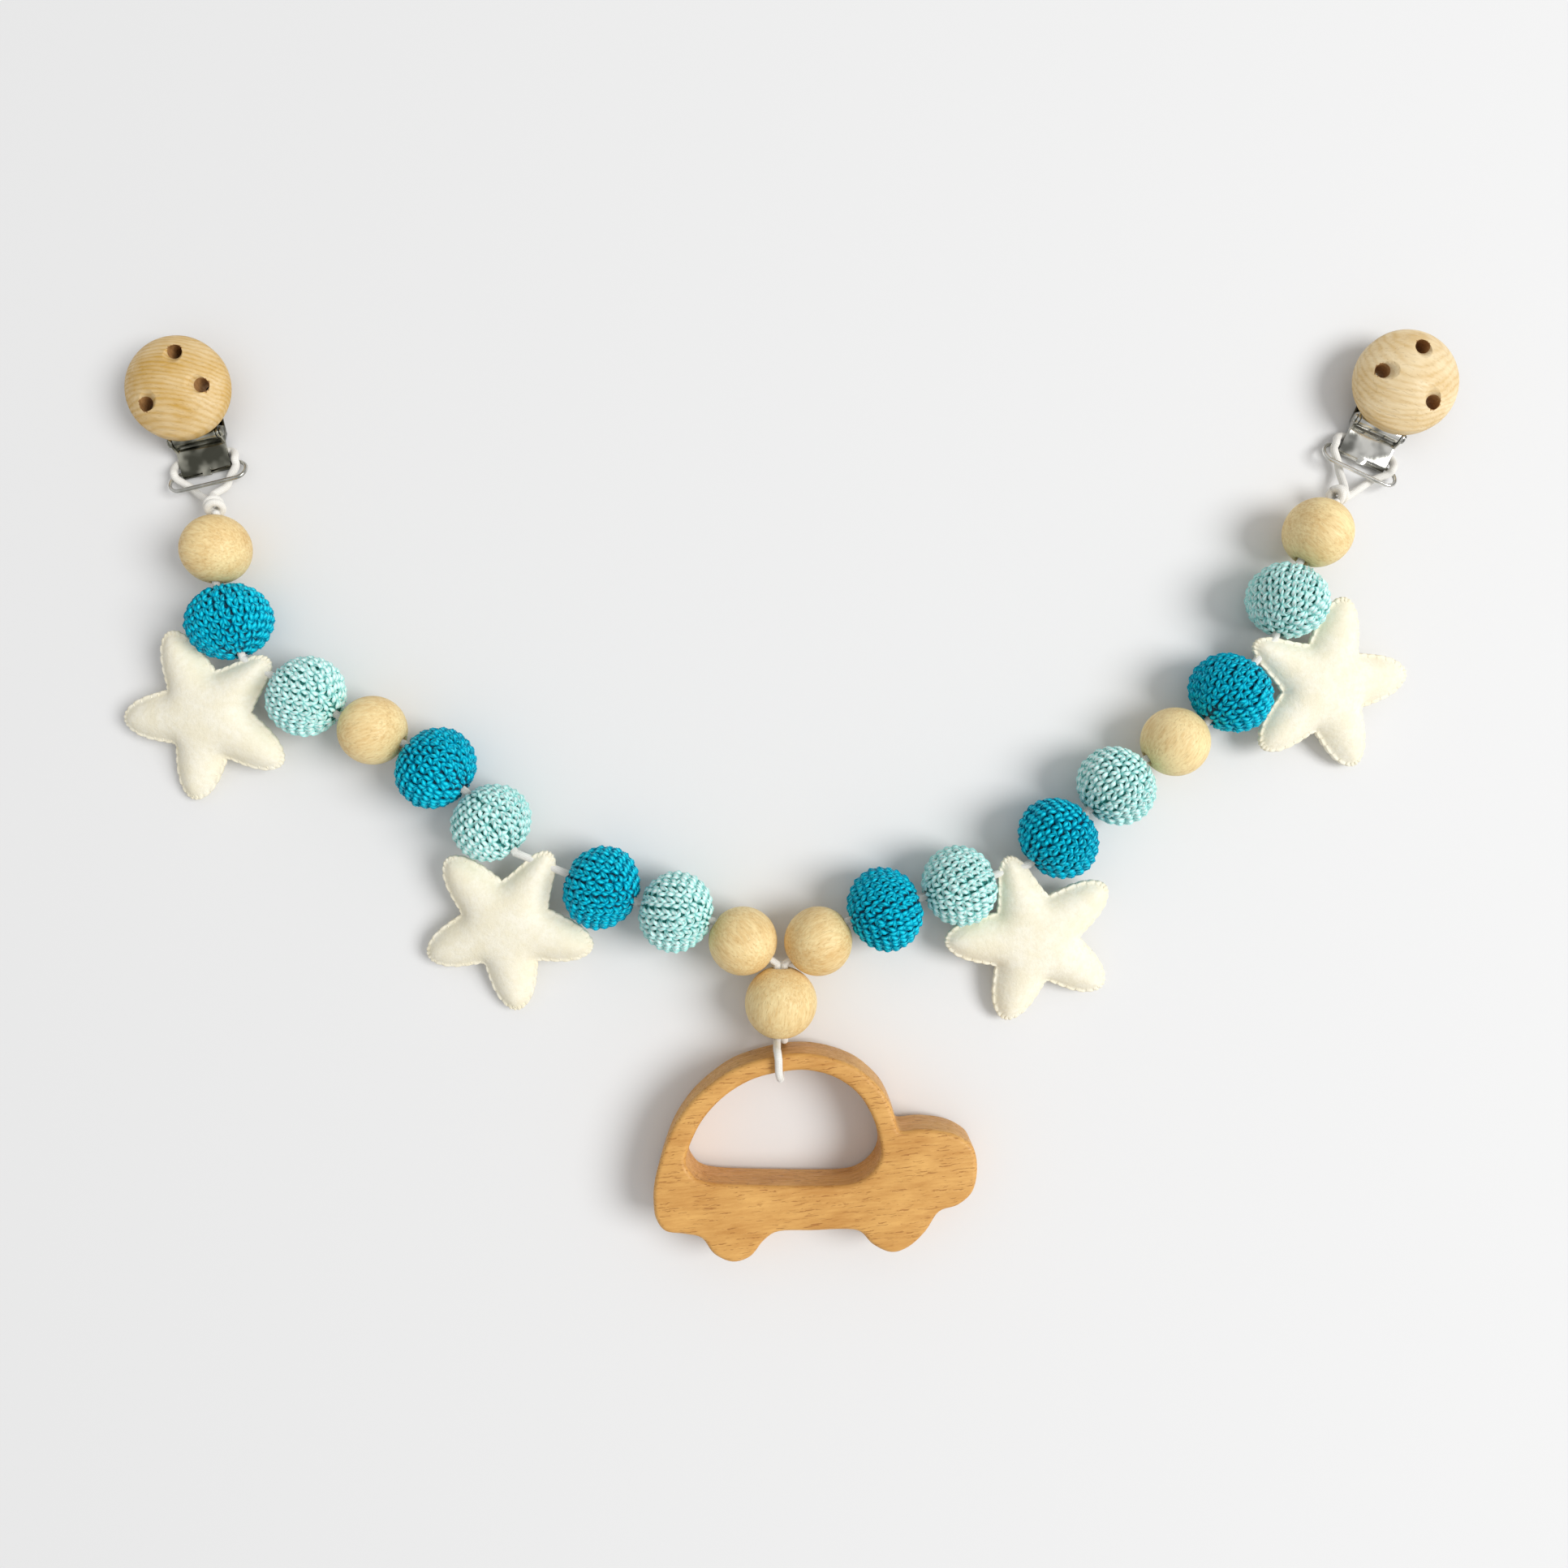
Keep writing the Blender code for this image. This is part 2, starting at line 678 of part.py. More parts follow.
def clip_lever(name, matrix, parent):
    """The lever plate under the disc: three knuckles rolled round the pin, its front bent down as a jaw."""
    pin = Vector((-PIN_SETBACK, PIN_HEIGHT))
    under = PIN_HEIGHT + BARREL_BORE_RADIUS
    bite = SHEET + CLEARANCE + INSERT_HEIGHT + TOOTH_HEIGHT + CLEARANCE
    line = [
        *reversed(arc(pin, BARREL_BORE_RADIUS, 90, 345, 10)),
        Vector((LEVER_REACH - SHEET, under)),
        Vector((LEVER_REACH - SHEET, bite)),
    ]
    outline = sheet_outline(list(reversed(line)), SHEET)
    item = piece(name, extruded(name, outline, LEVER_WIDTH), matrix, parent, "nickel")
    barrel = BARREL_BORE_RADIUS + SHEET
    for side in (1, -1):
        middle = side * (KNUCKLE_WIDTH + KNUCKLE_SLOT) / 2
        slot = block(
            name + "_slot",
            (middle - KNUCKLE_SLOT / 2, -PIN_SETBACK - barrel - OVERRUN, PIN_HEIGHT - barrel - OVERRUN),
            (middle + KNUCKLE_SLOT / 2, -PIN_SETBACK + barrel + OVERRUN, under - CLEARANCE),
        )
        helper(item, slot, "DIFFERENCE")
    return item


def clip_insert(name, matrix, parent):
    """The toothed plastic insert in the lower jaw, behind the lip."""
    floor = SHEET + CLEARANCE
    front = JAW_REACH - SHEET - CLEARANCE
    pitch = INSERT_LENGTH / TOOTH_COUNT
    outline = [Vector((front - INSERT_LENGTH, floor)), Vector((front, floor))]
    for tooth in range(TOOTH_COUNT):
        start = front - tooth * pitch
        outline.append(Vector((start, floor + INSERT_HEIGHT)))
        outline.append(Vector((start - pitch / 2, floor + INSERT_HEIGHT + TOOTH_HEIGHT)))
    outline.append(Vector((front - INSERT_LENGTH, floor + INSERT_HEIGHT)))
    return piece(name, extruded(name, outline, INSERT_WIDTH), matrix, parent, "insert_plastic")


def clip_pin(name, matrix, parent):
    """The hinge pin, headed outside both ears."""
    shank = PIN_DIAMETER / 2
    head = PIN_HEAD_DIAMETER / 2
    reach = CLIP_WIDTH / 2 + CLEARANCE
    end = reach + PIN_HEAD_THICKNESS
    profile = [(0, end), (head, end), (head, reach), (shank, reach)]
    profile += [(radius, -height) for radius, height in reversed(profile)]
    mesh = turned(name, profile, 12)
    return piece(name, mesh, matrix @ turn(90, "Y"), parent, "nickel")


def clip_bail(name, matrix, parent):
    """The wire bail: a long ring whose near side turns in the curl. Its near side is on the X axis."""
    bend = BAIL_PITCH / 2
    reach = BAIL_LENGTH / 2 - WIRE_DIAMETER / 2 - bend
    ring = []
    for side, start in ((1, -90), (-1, 90)):
        centre = Vector((side * reach, -bend))
        ring += arc(centre, bend, start, start + 180, 6)
    points = [Vector((*place, 0)) for place in ring]
    mesh = swept(name, points, [1] * len(points), WIRE_DIAMETER / 2, closed=True)
    return piece(name, mesh, matrix, parent, "nickel")


def knot(name, matrix, parent):
    """The knot at the chain's end: two tight wraps over the crossed strands, its two legs along +X."""
    wrap_points = 9
    reach = KNOT_TO_LOOP - CLEARANCE
    core = bmesh.new()
    bmesh.ops.create_icosphere(core, subdivisions=2, radius=KNOT_WRAP_RADIUS + CORD_RADIUS / 3)
    item = piece(name, mesh_of(core, name), matrix, parent, "cord", sharp=80.0)
    for side in (1, -1):
        ring = [
            Vector((0, *level(360 * step / wrap_points, KNOT_WRAP_RADIUS).xy)) for step in range(wrap_points)
        ]
        wrap = swept(name + "_wrap", ring, [1] * wrap_points, CORD_RADIUS, closed=True)
        place = Matrix.Translation((side * KNOT_WRAP_SPREAD / 2, 0, 0)) @ turn(side * KNOT_WRAP_LEAN, "Z")
        helper(item, wrap, "UNION", place)
        beside = side * (CORD_RADIUS + CLEARANCE / 2)
        leg = cord_length(name + "_leg", [Vector((0, beside, 0)), Vector((reach, beside, 0))])
        helper(item, leg, "UNION")
    return item


def end_loop(name, matrix, parent, start):
    """The cord loop through the clip, in the clip's frame: over the bail, under the tail, and back."""
    half = CLIP_WIDTH / 2 + CLEARANCE + CORD_RADIUS
    curl_height = SHEET + CURL_RADIUS
    over = curl_height + WIRE_DIAMETER / 2 + CLEARANCE + CORD_RADIUS
    bar = -CURL_SETBACK - BAIL_PITCH * math.cos(math.radians(BAIL_SLOPE))
    bar_height = curl_height + BAIL_PITCH * math.sin(math.radians(BAIL_SLOPE))
    beneath = bar_height - WIRE_DIAMETER / 2 - CLEARANCE - CORD_RADIUS
    past = -CURL_SETBACK - CURL_RADIUS - SHEET
    inside = -PIN_SETBACK - EAR_FOOT_LENGTH / 2 - CORD_RADIUS - CLEARANCE
    low = CORD_RADIUS + CLEARANCE / 3
    descent = (over + low) / 2
    ends = []
    for side in (1, -1):
        leg = start @ Vector((CLEARANCE, -side * (CORD_RADIUS + CLEARANCE / 2), 0))
        next_leg = start @ Vector((CORD_DIAMETER, -side * (CORD_RADIUS + CLEARANCE / 2), 0))
        route = [
            leg,
            next_leg,
            Vector((side * half * LOOP_SPREAD_SHARES[0], bar - WIRE_DIAMETER, beneath - CLEARANCE)),
            Vector((side * half * LOOP_SPREAD_SHARES[1], bar + CORD_RADIUS, beneath - CLEARANCE)),
            Vector((side * half * LOOP_SPREAD_SHARES[2], past, (beneath + over) / 2)),
            Vector((side * (half + LOOP_SIDE_BULGE / 3), -CURL_SETBACK, over + CLEARANCE)),
            Vector((side * (half + LOOP_SIDE_BULGE / 3), inside - CORD_DIAMETER, descent + CLEARANCE)),
            Vector((side * (half - CORD_RADIUS / 2), inside - CORD_RADIUS / 2, low)),
            Vector((side * (half - CORD_DIAMETER - CORD_RADIUS / 2), inside, low)),
            Vector((side * (half - 2 * CORD_DIAMETER - CORD_RADIUS), inside, low)),
        ]
        ends.append(route)
    middle = Vector((0, inside, low))
    route = [*ends[0], middle, *reversed(ends[1])]
    path = smooth(route, 2)
    return piece(name, cord_length(name, path), matrix, parent, "cord", sharp=80.0)


def clip(side, frame, parent, start, holes):
    """All of one clip in its own frame: +Y to the disc, its back on the ground."""
    held = pivot(side + "_clip_swing", frame @ start, parent)
    end_loop(side + "_loop", frame, held, start)
    clip_base(side + "_clip_base", frame, held)
    clip_insert(side + "_clip_insert", frame, held)
    pin = frame @ Matrix.Translation((0, -PIN_SETBACK, PIN_HEIGHT))
    clip_pin(side + "_clip_pin", pin, held)
    lever = pivot(side + "_clip_lever_turn", pin, held)
    clip_lever(side + "_clip_lever", frame, lever)
    back = PIN_HEIGHT + BARREL_BORE_RADIUS + SHEET + CLEARANCE
    square = turn(-frame.to_euler().z * 180 / math.pi, "Z")
    disc(side + "_clip_disc", frame @ Matrix.Translation((0, 0, back)) @ square, lever, holes)
    curl = frame @ Matrix.Translation((0, -CURL_SETBACK, SHEET + CURL_RADIUS))
    clip_bail(side + "_clip_bail", curl @ turn(-BAIL_SLOPE, "X"), held)


def strand(side, sign, string, cord_height, start):
    """One half of the chain, from the middle out. It returns the last ball's outer mouth and link."""
    counts = {"wood": 0, "dark": 0, "mint": 0, "star": 0}
    place = start.copy()
    parent = bpy.data.objects["centre_cord"]
    lead = FIRST_BALL_LEAD
    for number, (kind, heading, star_row) in enumerate(string, start=1):
        along = heading if sign > 0 else 180 - heading
        length = BALLS[kind][1]
        room = star_row[0] if star_row else 0
        total = lead + BALL_SPACING + length + room
        frame = Matrix.Translation(place) @ turn(along, "Z")
        ends = (CLEARANCE / 2, total - CLEARANCE / 2)
        path = [Vector((ends[0], 0, 0)), Vector((ends[1], 0, 0))]
        link = piece(f"{side}_cord_{number}", cord_length("cord", path), frame, parent, "cord")
        counts[kind] += 1
        middle = frame @ Matrix.Translation((lead + BALL_SPACING / 2 + length / 2, 0, 0))
        ball(f"{side}_{kind}_ball_{counts[kind]}", kind, middle, link)
        if star_row:
            counts["star"] += 1
            at = total - room + room * star_row[1]
            lean = star_row[2]
            thread = STAR_REACH - STAR_THREAD_INSET
            fall = cord_height - STAR_CENTRE_HEIGHT
            tilt = math.degrees(math.asin(fall / (thread * math.cos(math.radians(lean)))))
            hold = frame @ Matrix.Translation((at, 0, 0))
            if sign < 0:
                hold = hold @ turn(180, "Z")
            star(f"{side}_star_{counts['star']}", hold @ turn(tilt, "X"), link, sign * lean)
        place = frame @ Vector((total, 0, 0))
        parent = link
        lead = 0
    return place, parent


def car_and_loop(car_frame, mouth, tilt, roof, window, cord_height):
    """The car and the cord loop that holds its roof bar and runs up into the middle ball."""
    centre_cord = bpy.data.objects["centre_cord"]
    offset = LOOP_CLEARANCE + CORD_RADIUS
    top = CAR_THICKNESS + offset
    outer = roof + offset
    inner = window - offset
    loop_frame = Matrix.Translation(car_frame.translation) @ turn(tilt, "X")
    to_local = loop_frame.inverted()
    beside = STRAND_SPACING / 2
    corners = [
        Vector((outer, top)),
        Vector((inner, top)),
        Vector((inner, -offset)),
        Vector((outer, -offset)),
    ]
    around = rounded([(corner, PENDANT_CORNER_RADIUS) for corner in corners], CORNER_STEP_ANGLE)
    split = next(i for i, place in enumerate(around) if (place - corners[0]).length < PENDANT_CORNER_RADIUS)
    around = around[split:] + around[:split]
    route = [Vector((0, *place)) for place in around]
    count = len(route)
    for index, point in enumerate(route):
        point.x = beside * (2 * index / (count - 1) - 1)
    leave = CENTRE_BALL_BORE / 16
    first = to_local @ Vector((-beside, mouth + CORD_DIAMETER, cord_height))
    first_out = to_local @ Vector((-beside, mouth - 3 * CLEARANCE, cord_height + leave))
    last = to_local @ Vector((beside, mouth + CORD_DIAMETER, cord_height))
    last_out = to_local @ Vector((beside, mouth - 3 * CLEARANCE, cord_height - leave))
    path = [first, *smooth([first_out, *route, last_out], 1), last]
    holder = pivot("pendant_turn", Matrix.Translation((0, mouth, cord_height)), centre_cord)
    loop = piece("pendant_loop", cord_length("loop", path), loop_frame, holder, "cord", sharp=80.0)
    return loop


def build():
    for item in list(bpy.data.objects):
        bpy.data.objects.remove(item)

    outline = car_curve(CAR_OUTLINE_SHARES)
    window = car_curve(CAR_WINDOW_SHARES)
    roof = crossing(outline, 0)[-1]
    lintel = crossing(window, 0)[-1]
    lowest = min(place.y for place in outline) + CAR_EDGE_RADIUS
    under_strand = CORD_DIAMETER + LOOP_CLEARANCE + CLEARANCE
    tilt = math.degrees(math.asin(under_strand / (lintel - lowest)))
    ground = (lowest + LOOP_TO_ORIGIN) * math.sin(math.radians(tilt))
    cord_height = ground + DARK_BALL_DIAMETER / 2

    car_turn = turn(CAR_TURN, "Z") @ turn(tilt, "X")
    rise = LOOP_TO_ORIGIN * math.tan(math.radians(tilt)) * math.cos(math.radians(CAR_TURN))
    car_frame = Matrix.Translation((0, LOOP_TO_ORIGIN, rise)) @ car_turn

    mouth = LOOP_TO_ORIGIN + roof + CORD_DIAMETER + LOOP_CLEARANCE + PENDANT_GAP
    bore_mouth = ball_profile(CENTRE_BALL_DIAMETER, CENTRE_BALL_DIAMETER, CENTRE_BALL_BORE)[0][1]
    middle = mouth + bore_mouth
    fork = middle + CENTRE_BALL_DIAMETER / 2 + BALL_SPACING
    beside = STRAND_SPACING / 2

    low_end = mouth + CORD_DIAMETER + CLEARANCE
    high_end = fork - CLEARANCE / 2
    frame = Matrix.Translation((0, fork, cord_height))
    paths = []
    for side in (-1, 1):
        paths.append([Vector((side * beside, height - fork, 0)) for height in (low_end, high_end)])
    centre = piece("centre_cord", cord_length("centre_cord", paths[0]), frame, None, "cord")
    helper(centre, cord_length("strand", paths[1]), "UNION")
    ball("centre_ball", "centre", Matrix.Translation((0, middle, cord_height)) @ turn(90, "Z"), centre)

    loop = car_and_loop(car_frame, mouth, tilt, roof, lintel, cord_height)
    board = slab("car", [outline, list(reversed(window))], CAR_THICKNESS, CAR_EDGE_RADIUS, 1)
    piece("car", board, car_frame, loop, "car_wood")

    left_lie = (LEFT_CLIP_HEADING, LEFT_KNOT_HEADING, LEFT_KNOT_BEHIND_DISC, LEFT_KNOT_SIDE)
    right_lie = (RIGHT_CLIP_HEADING, RIGHT_KNOT_HEADING, RIGHT_KNOT_BEHIND_DISC, RIGHT_KNOT_SIDE)
    rows = (
        ("left", -1, LEFT_STRING, left_lie, LEFT_DISC_HOLE_ANGLES),
        ("right", 1, RIGHT_STRING, right_lie, RIGHT_DISC_HOLE_ANGLES),
    )
    for side, sign, string, lie, holes in rows:
        clip_heading, knot_heading, behind, aside = lie
        start = Vector((sign * beside, fork, cord_height))
        end, link = strand(side, sign, string, cord_height, start)
        knot_place = end + level(knot_heading, KNOT_LEVEL_RUN) - Vector((0, 0, KNOT_DROP))
        clip_turn = turn(clip_heading - 90, "Z")
        corner = knot_place - clip_turn.to_3x3() @ Vector((aside, -behind, 0))
        frame = Matrix.Translation((corner.x, corner.y, ground)) @ clip_turn
        run = math.sqrt(KNOT_TO_LOOP**2 - KNOT_TO_LOOP_DROP**2)
        leg = Vector((-aside, KNOT_TO_LOOP, 0)).normalized() * run
        local_knot = frame.inverted() @ knot_place
        toward = Vector((leg.x, leg.y, -KNOT_TO_LOOP_DROP)).normalized()
        along = math.degrees(math.atan2(toward.y, toward.x))
        slope = math.degrees(math.asin(-toward.z))
        local_frame = Matrix.Translation(local_knot) @ turn(along, "Z") @ turn(slope, "Y")
        swing = pivot(side + "_knot_turn", Matrix.Translation(end), link)
        knot(side + "_knot", frame @ local_frame, swing)
        hinge = local_frame @ Matrix.Translation((KNOT_TO_LOOP, 0, 0))
        clip(side, frame, swing, hinge, holes)


build()
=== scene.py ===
import json
import math
import random

import bmesh
import bpy
import numpy as np
from mathutils import Matrix, Vector


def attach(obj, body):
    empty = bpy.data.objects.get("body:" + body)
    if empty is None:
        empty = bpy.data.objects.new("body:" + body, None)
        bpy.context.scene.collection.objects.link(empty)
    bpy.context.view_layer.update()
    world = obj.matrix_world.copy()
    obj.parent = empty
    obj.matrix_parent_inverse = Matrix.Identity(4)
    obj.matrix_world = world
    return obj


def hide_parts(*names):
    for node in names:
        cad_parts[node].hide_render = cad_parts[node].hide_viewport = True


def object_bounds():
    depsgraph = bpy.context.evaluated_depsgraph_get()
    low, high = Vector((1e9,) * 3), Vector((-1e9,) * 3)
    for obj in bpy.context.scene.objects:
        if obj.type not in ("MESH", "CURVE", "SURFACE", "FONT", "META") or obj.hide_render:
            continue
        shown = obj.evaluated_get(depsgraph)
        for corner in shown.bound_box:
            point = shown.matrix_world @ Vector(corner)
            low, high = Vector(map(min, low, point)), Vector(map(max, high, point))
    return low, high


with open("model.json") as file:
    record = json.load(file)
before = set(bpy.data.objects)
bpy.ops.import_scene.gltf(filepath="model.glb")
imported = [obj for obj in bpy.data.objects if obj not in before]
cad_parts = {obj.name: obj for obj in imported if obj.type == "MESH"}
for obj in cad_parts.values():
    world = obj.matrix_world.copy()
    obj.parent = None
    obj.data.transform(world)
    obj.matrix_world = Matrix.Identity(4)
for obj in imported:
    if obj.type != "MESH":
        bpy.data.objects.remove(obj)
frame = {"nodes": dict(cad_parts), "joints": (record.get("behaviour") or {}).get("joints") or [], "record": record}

packed_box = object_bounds()

# Camera, light and table. The chain lies on a pale table and is seen from straight above. One large soft
# light stands on the right, and pale walls all round fill the shadows.
CAMERA_PLACE = Vector((0.0009, 0.1164, 0.375))
SEEN_HALF_WIDTH = 0.2212
SENSOR_WIDTH = 36.0
LAMP_DIRECTION = Vector((0.82, -0.04, 0.92)).normalized()
LAMP_DISTANCE = 3.4
LAMP_SIZE = 1.9
LAMP_POWER = 85.0
ROOM_BRIGHT = 0.61
ROOM_DIM = 0.32
TABLE_SIZE = 4.0
TABLE_COLOUR = (0.80, 0.80, 0.80)

scene = bpy.context.scene
scene.view_settings.view_transform = "Standard"


def placed(name, data):
    """An object made from its data and linked to the scene."""
    item = bpy.data.objects.new(name, data)
    scene.collection.objects.link(item)
    return item


def baked(shape, name):
    """A mesh made from a bmesh, which is then let go."""
    mesh = bpy.data.meshes.new(name)
    shape.to_mesh(mesh)
    shape.free()
    return mesh


camera = placed("camera", bpy.data.cameras.new("camera"))
camera.data.sensor_width = SENSOR_WIDTH
camera.data.lens = SENSOR_WIDTH / 2 * CAMERA_PLACE.z / SEEN_HALF_WIDTH
camera.location = CAMERA_PLACE
scene.camera = camera

lamp = placed("lamp", bpy.data.lights.new("lamp", "AREA"))
lamp.data.shape = "DISK"
lamp.data.size = LAMP_SIZE
lamp.data.energy = LAMP_POWER
lamp.location = Vector((0, CAMERA_PLACE.y, 0)) + LAMP_DIRECTION * LAMP_DISTANCE
lamp.rotation_euler = LAMP_DIRECTION.to_track_quat("Z", "Y").to_euler()


class Value:
    """A number on its way through a material's nodes. Plain arithmetic on it adds the Math nodes."""

    def __init__(self, paint, socket):
        self.paint = paint
        self.socket = socket

    def reckon(self, operation, *others):
        return self.paint.node("Math", {"operation": operation}, dict(enumerate(others)))

    def __add__(self, other):
        return self.reckon("ADD", self, other)

    def __radd__(self, other):
        return self.reckon("ADD", other, self)

    def __sub__(self, other):
        return self.reckon("SUBTRACT", self, other)

    def __mul__(self, other):
        return self.reckon("MULTIPLY", self, other)

    def __rmul__(self, other):
        return self.reckon("MULTIPLY", other, self)

    def __truediv__(self, other):
        return self.reckon("DIVIDE", self, other)

    def __pow__(self, other):
        return self.reckon("POWER", self, other)

    def sine(self):
        return self.reckon("SINE", self)

    def between(self, low, high):
        """0 below low, 1 above high, and a smooth step from one to the other."""
        settings = {"interpolation_type": "SMOOTHSTEP"}
        return self.paint.node("MapRange", settings, {"Value": self, "From Min": low, "From Max": high})


class Paint:
    """A material, with its nodes and the links between them."""

    def __init__(self, name, tree=None):
        if tree is None:
            self.material = bpy.data.materials.new(name)
            self.material.use_nodes = True
            tree = self.material.node_tree
        self.tree = tree

    def node(self, kind, settings=None, inputs=None, output=0):
        """A node of a kind. Its settings are set first, then its inputs, which are values or outputs."""
        made = self.tree.nodes.new("ShaderNode" + kind)
        for name, value in (settings or {}).items():
            setattr(made, name, value)
        self.fill(made, inputs or {})
        return Value(self, made.outputs[output])

    def fill(self, node, inputs):
        for name, value in inputs.items():
            if isinstance(value, Value):
                self.tree.links.new(value.socket, node.inputs[name])
            else:
                node.inputs[name].default_value = value

    def noise(self, vector, scale, detail=3.0, rough=0.55, stretch=(1, 1, 1)):
        """Noise along a vector that is stretched first, from 0 to 1."""
        stretched = self.node("Mapping", {}, {"Vector": vector, "Scale": stretch})
        inputs = {"Vector": stretched, "Scale": scale, "Detail": detail, "Roughness": rough}
        return self.node("TexNoise", {}, inputs)

    def mix(self, share, first, second):
        """Two colours, mixed by a share."""
        settings = {"data_type": "RGBA", "clamp_factor": True}
        inputs = {"Factor": share, 6: opaque(first), 7: opaque(second)}
        return self.node("Mix", settings, inputs, output=2)

    def surface(self, **inputs):
        """Sets the Principled shader, by its inputs' names with _ for a space."""
        shader = self.tree.nodes["Principled BSDF"]
        self.fill(shader, {name.replace("_", " "): value for name, value in inputs.items()})
        return self.material

    def bump(self, height, distance):
        return self.node("Bump", {}, {"Height": height, "Distance": distance, "Strength": 1.0})


def opaque(colour):
    return colour if isinstance(colour, Value) else (*colour, 1)


room = bpy.data.worlds.new("room")
room.use_nodes = True
scene.world = room
air = Paint("room", room.node_tree)
upward = air.node("SeparateXYZ", {}, {"Vector": air.node("TexCoord", output="Generated")}, output="Z")
glow = ROOM_DIM + (ROOM_BRIGHT - ROOM_DIM) * upward.between(-0.1, 0.8)
air.fill(room.node_tree.nodes["Background"], {"Color": (1, 1, 1, 1), "Strength": glow})

top = bmesh.new()
bmesh.ops.create_grid(top, x_segments=1, y_segments=1, size=TABLE_SIZE / 2)
bmesh.ops.translate(top, verts=top.verts, vec=(0, CAMERA_PLACE.y, packed_box[0].z))
table = placed("table", baked(top, "table"))
laminate = Paint("table").surface(Base_Color=opaque(TABLE_COLOUR), Roughness=0.7, Specular_IOR_Level=0.2)
table.data.materials.append(laminate)


# Wooden balls. Seven plain turned balls of untreated hardwood, drilled through for the cord, the mouths of
# the bores just broken. The fibres run another way in each.
MILLIMETRE = 0.001
BORE_LIP = 0.0005
CENTRE_BALL = (0.0198, 0.0048)
STRUNG_BALL = (0.0188, 0.0036)
BALL_SEGMENTS = 72
BALL_WOBBLE = 0.00012
# Where the log's pith lay from a ball's middle, in diameters
BALL_PITH = Vector((-0.2, -0.4, -1))
WOOD_RELIEF = 0.00006
UPWARD = Vector((0, 0, 1))

hinges = {joint["name"]: joint for joint in frame["joints"]}
bodies = frame["record"]["behaviour"]["bodies"]
body_of = {node: body for body, nodes in bodies.items() for node in nodes}


def hinge(name):
    """Where a joint is and the way its axis points."""
    return Vector(hinges[name]["pos_m"]), Vector(hinges[name]["axis"]).normalized()


def moved(shape, matrix):
    bmesh.ops.transform(shape, matrix=matrix, verts=shape.verts)


def faced_out(shape):
    bmesh.ops.recalc_face_normals(shape, faces=shape.faces)


def piece(name, shape, node, finishes, sharp=40.0):
    """A piece made from its bmesh, riding on its node's body and shown in the node's place."""
    item = placed(name, baked(shape, name))
    item.data.shade_smooth()
    item.data.set_sharp_from_angle(angle=math.radians(sharp))
    for finish in finishes:
        item.data.materials.append(finish)
    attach(item, body_of[node])
    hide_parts(node)
    return item


def turned(profile, steps):
    """A closed profile of radius and height, turned round Z."""
    shape = bmesh.new()
    verts = [shape.verts.new((radius, 0, height)) for radius, height in profile]
    edges = [shape.edges.new(pair) for pair in zip(verts, verts[1:])]
    if profile[0][0] > 0:
        edges.append(shape.edges.new((verts[-1], verts[0])))
    bmesh.ops.spin(
        shape, geom=verts + edges, cent=(0, 0, 0), axis=(0, 0, 1), angle=math.tau, steps=steps, use_merge=True
    )
    bmesh.ops.remove_doubles(shape, verts=shape.verts, dist=MILLIMETRE / 1000)
    faced_out(shape)
    return shape


def arc(centre, radius, start, end, steps):
    """Points on an arc round a centre, by angles in degrees."""
    points = []
    for step in range(steps + 1):
        angle = math.radians(start + (end - start) * step / steps)
        points.append((centre[0] + radius * math.cos(angle), centre[1] + radius * math.sin(angle)))
    return points


def bored(radius, half, bore, steps):
    """The profile of a ball with a rounded bore mouth, from one mouth to the other and back up the bore."""
    mouth = bore / 2 + BORE_LIP
    start = math.asin(mouth / radius)
    profile = []
    for step in range(steps + 1):
        angle = start + (math.pi - 2 * start) * step / steps
        profile.append((radius * math.sin(angle), half * math.cos(angle)))
    level = half * math.cos(start) - BORE_LIP
    lower = arc((mouth, -level), BORE_LIP, 250, 180, 3)
    upper = arc((mouth, level), BORE_LIP, 180, 110, 3)
    return [*profile, *lower, *upper]


def squared(place, across, up):
    """A frame at a place, its X across and its Z up."""
    frame_there = Matrix((across, up.cross(across), up)).transposed().to_4x4()
    frame_there.translation = place
    return frame_there


def along_bore(node, spin):
    """A ball's place, its bore along Z, turned about it by an angle in degrees."""
    place, axis = hinge(node + "_spin")
    facing = axis.to_track_quat("Z", "Y").to_matrix().to_4x4()
    return Matrix.Translation(place) @ facing @ Matrix.Rotation(math.radians(spin), 4, "Z")


def mark_grain(shape, fibre, pith, tone):
    """Notes where each point lay in the log, from the pith and in millimetres, and the piece's tone."""
    log = Matrix.Scale(1 / MILLIMETRE, 4) @ fibre.to_track_quat("X", "Z").to_matrix().to_4x4().inverted()
    log = log @ Matrix.Translation(-pith)
    grain = shape.verts.layers.float_vector.new("grain")
    shade = shape.verts.layers.float.new("tone")
    for vert in shape.verts:
        vert[grain] = log @ vert.co
        vert[shade] = tone


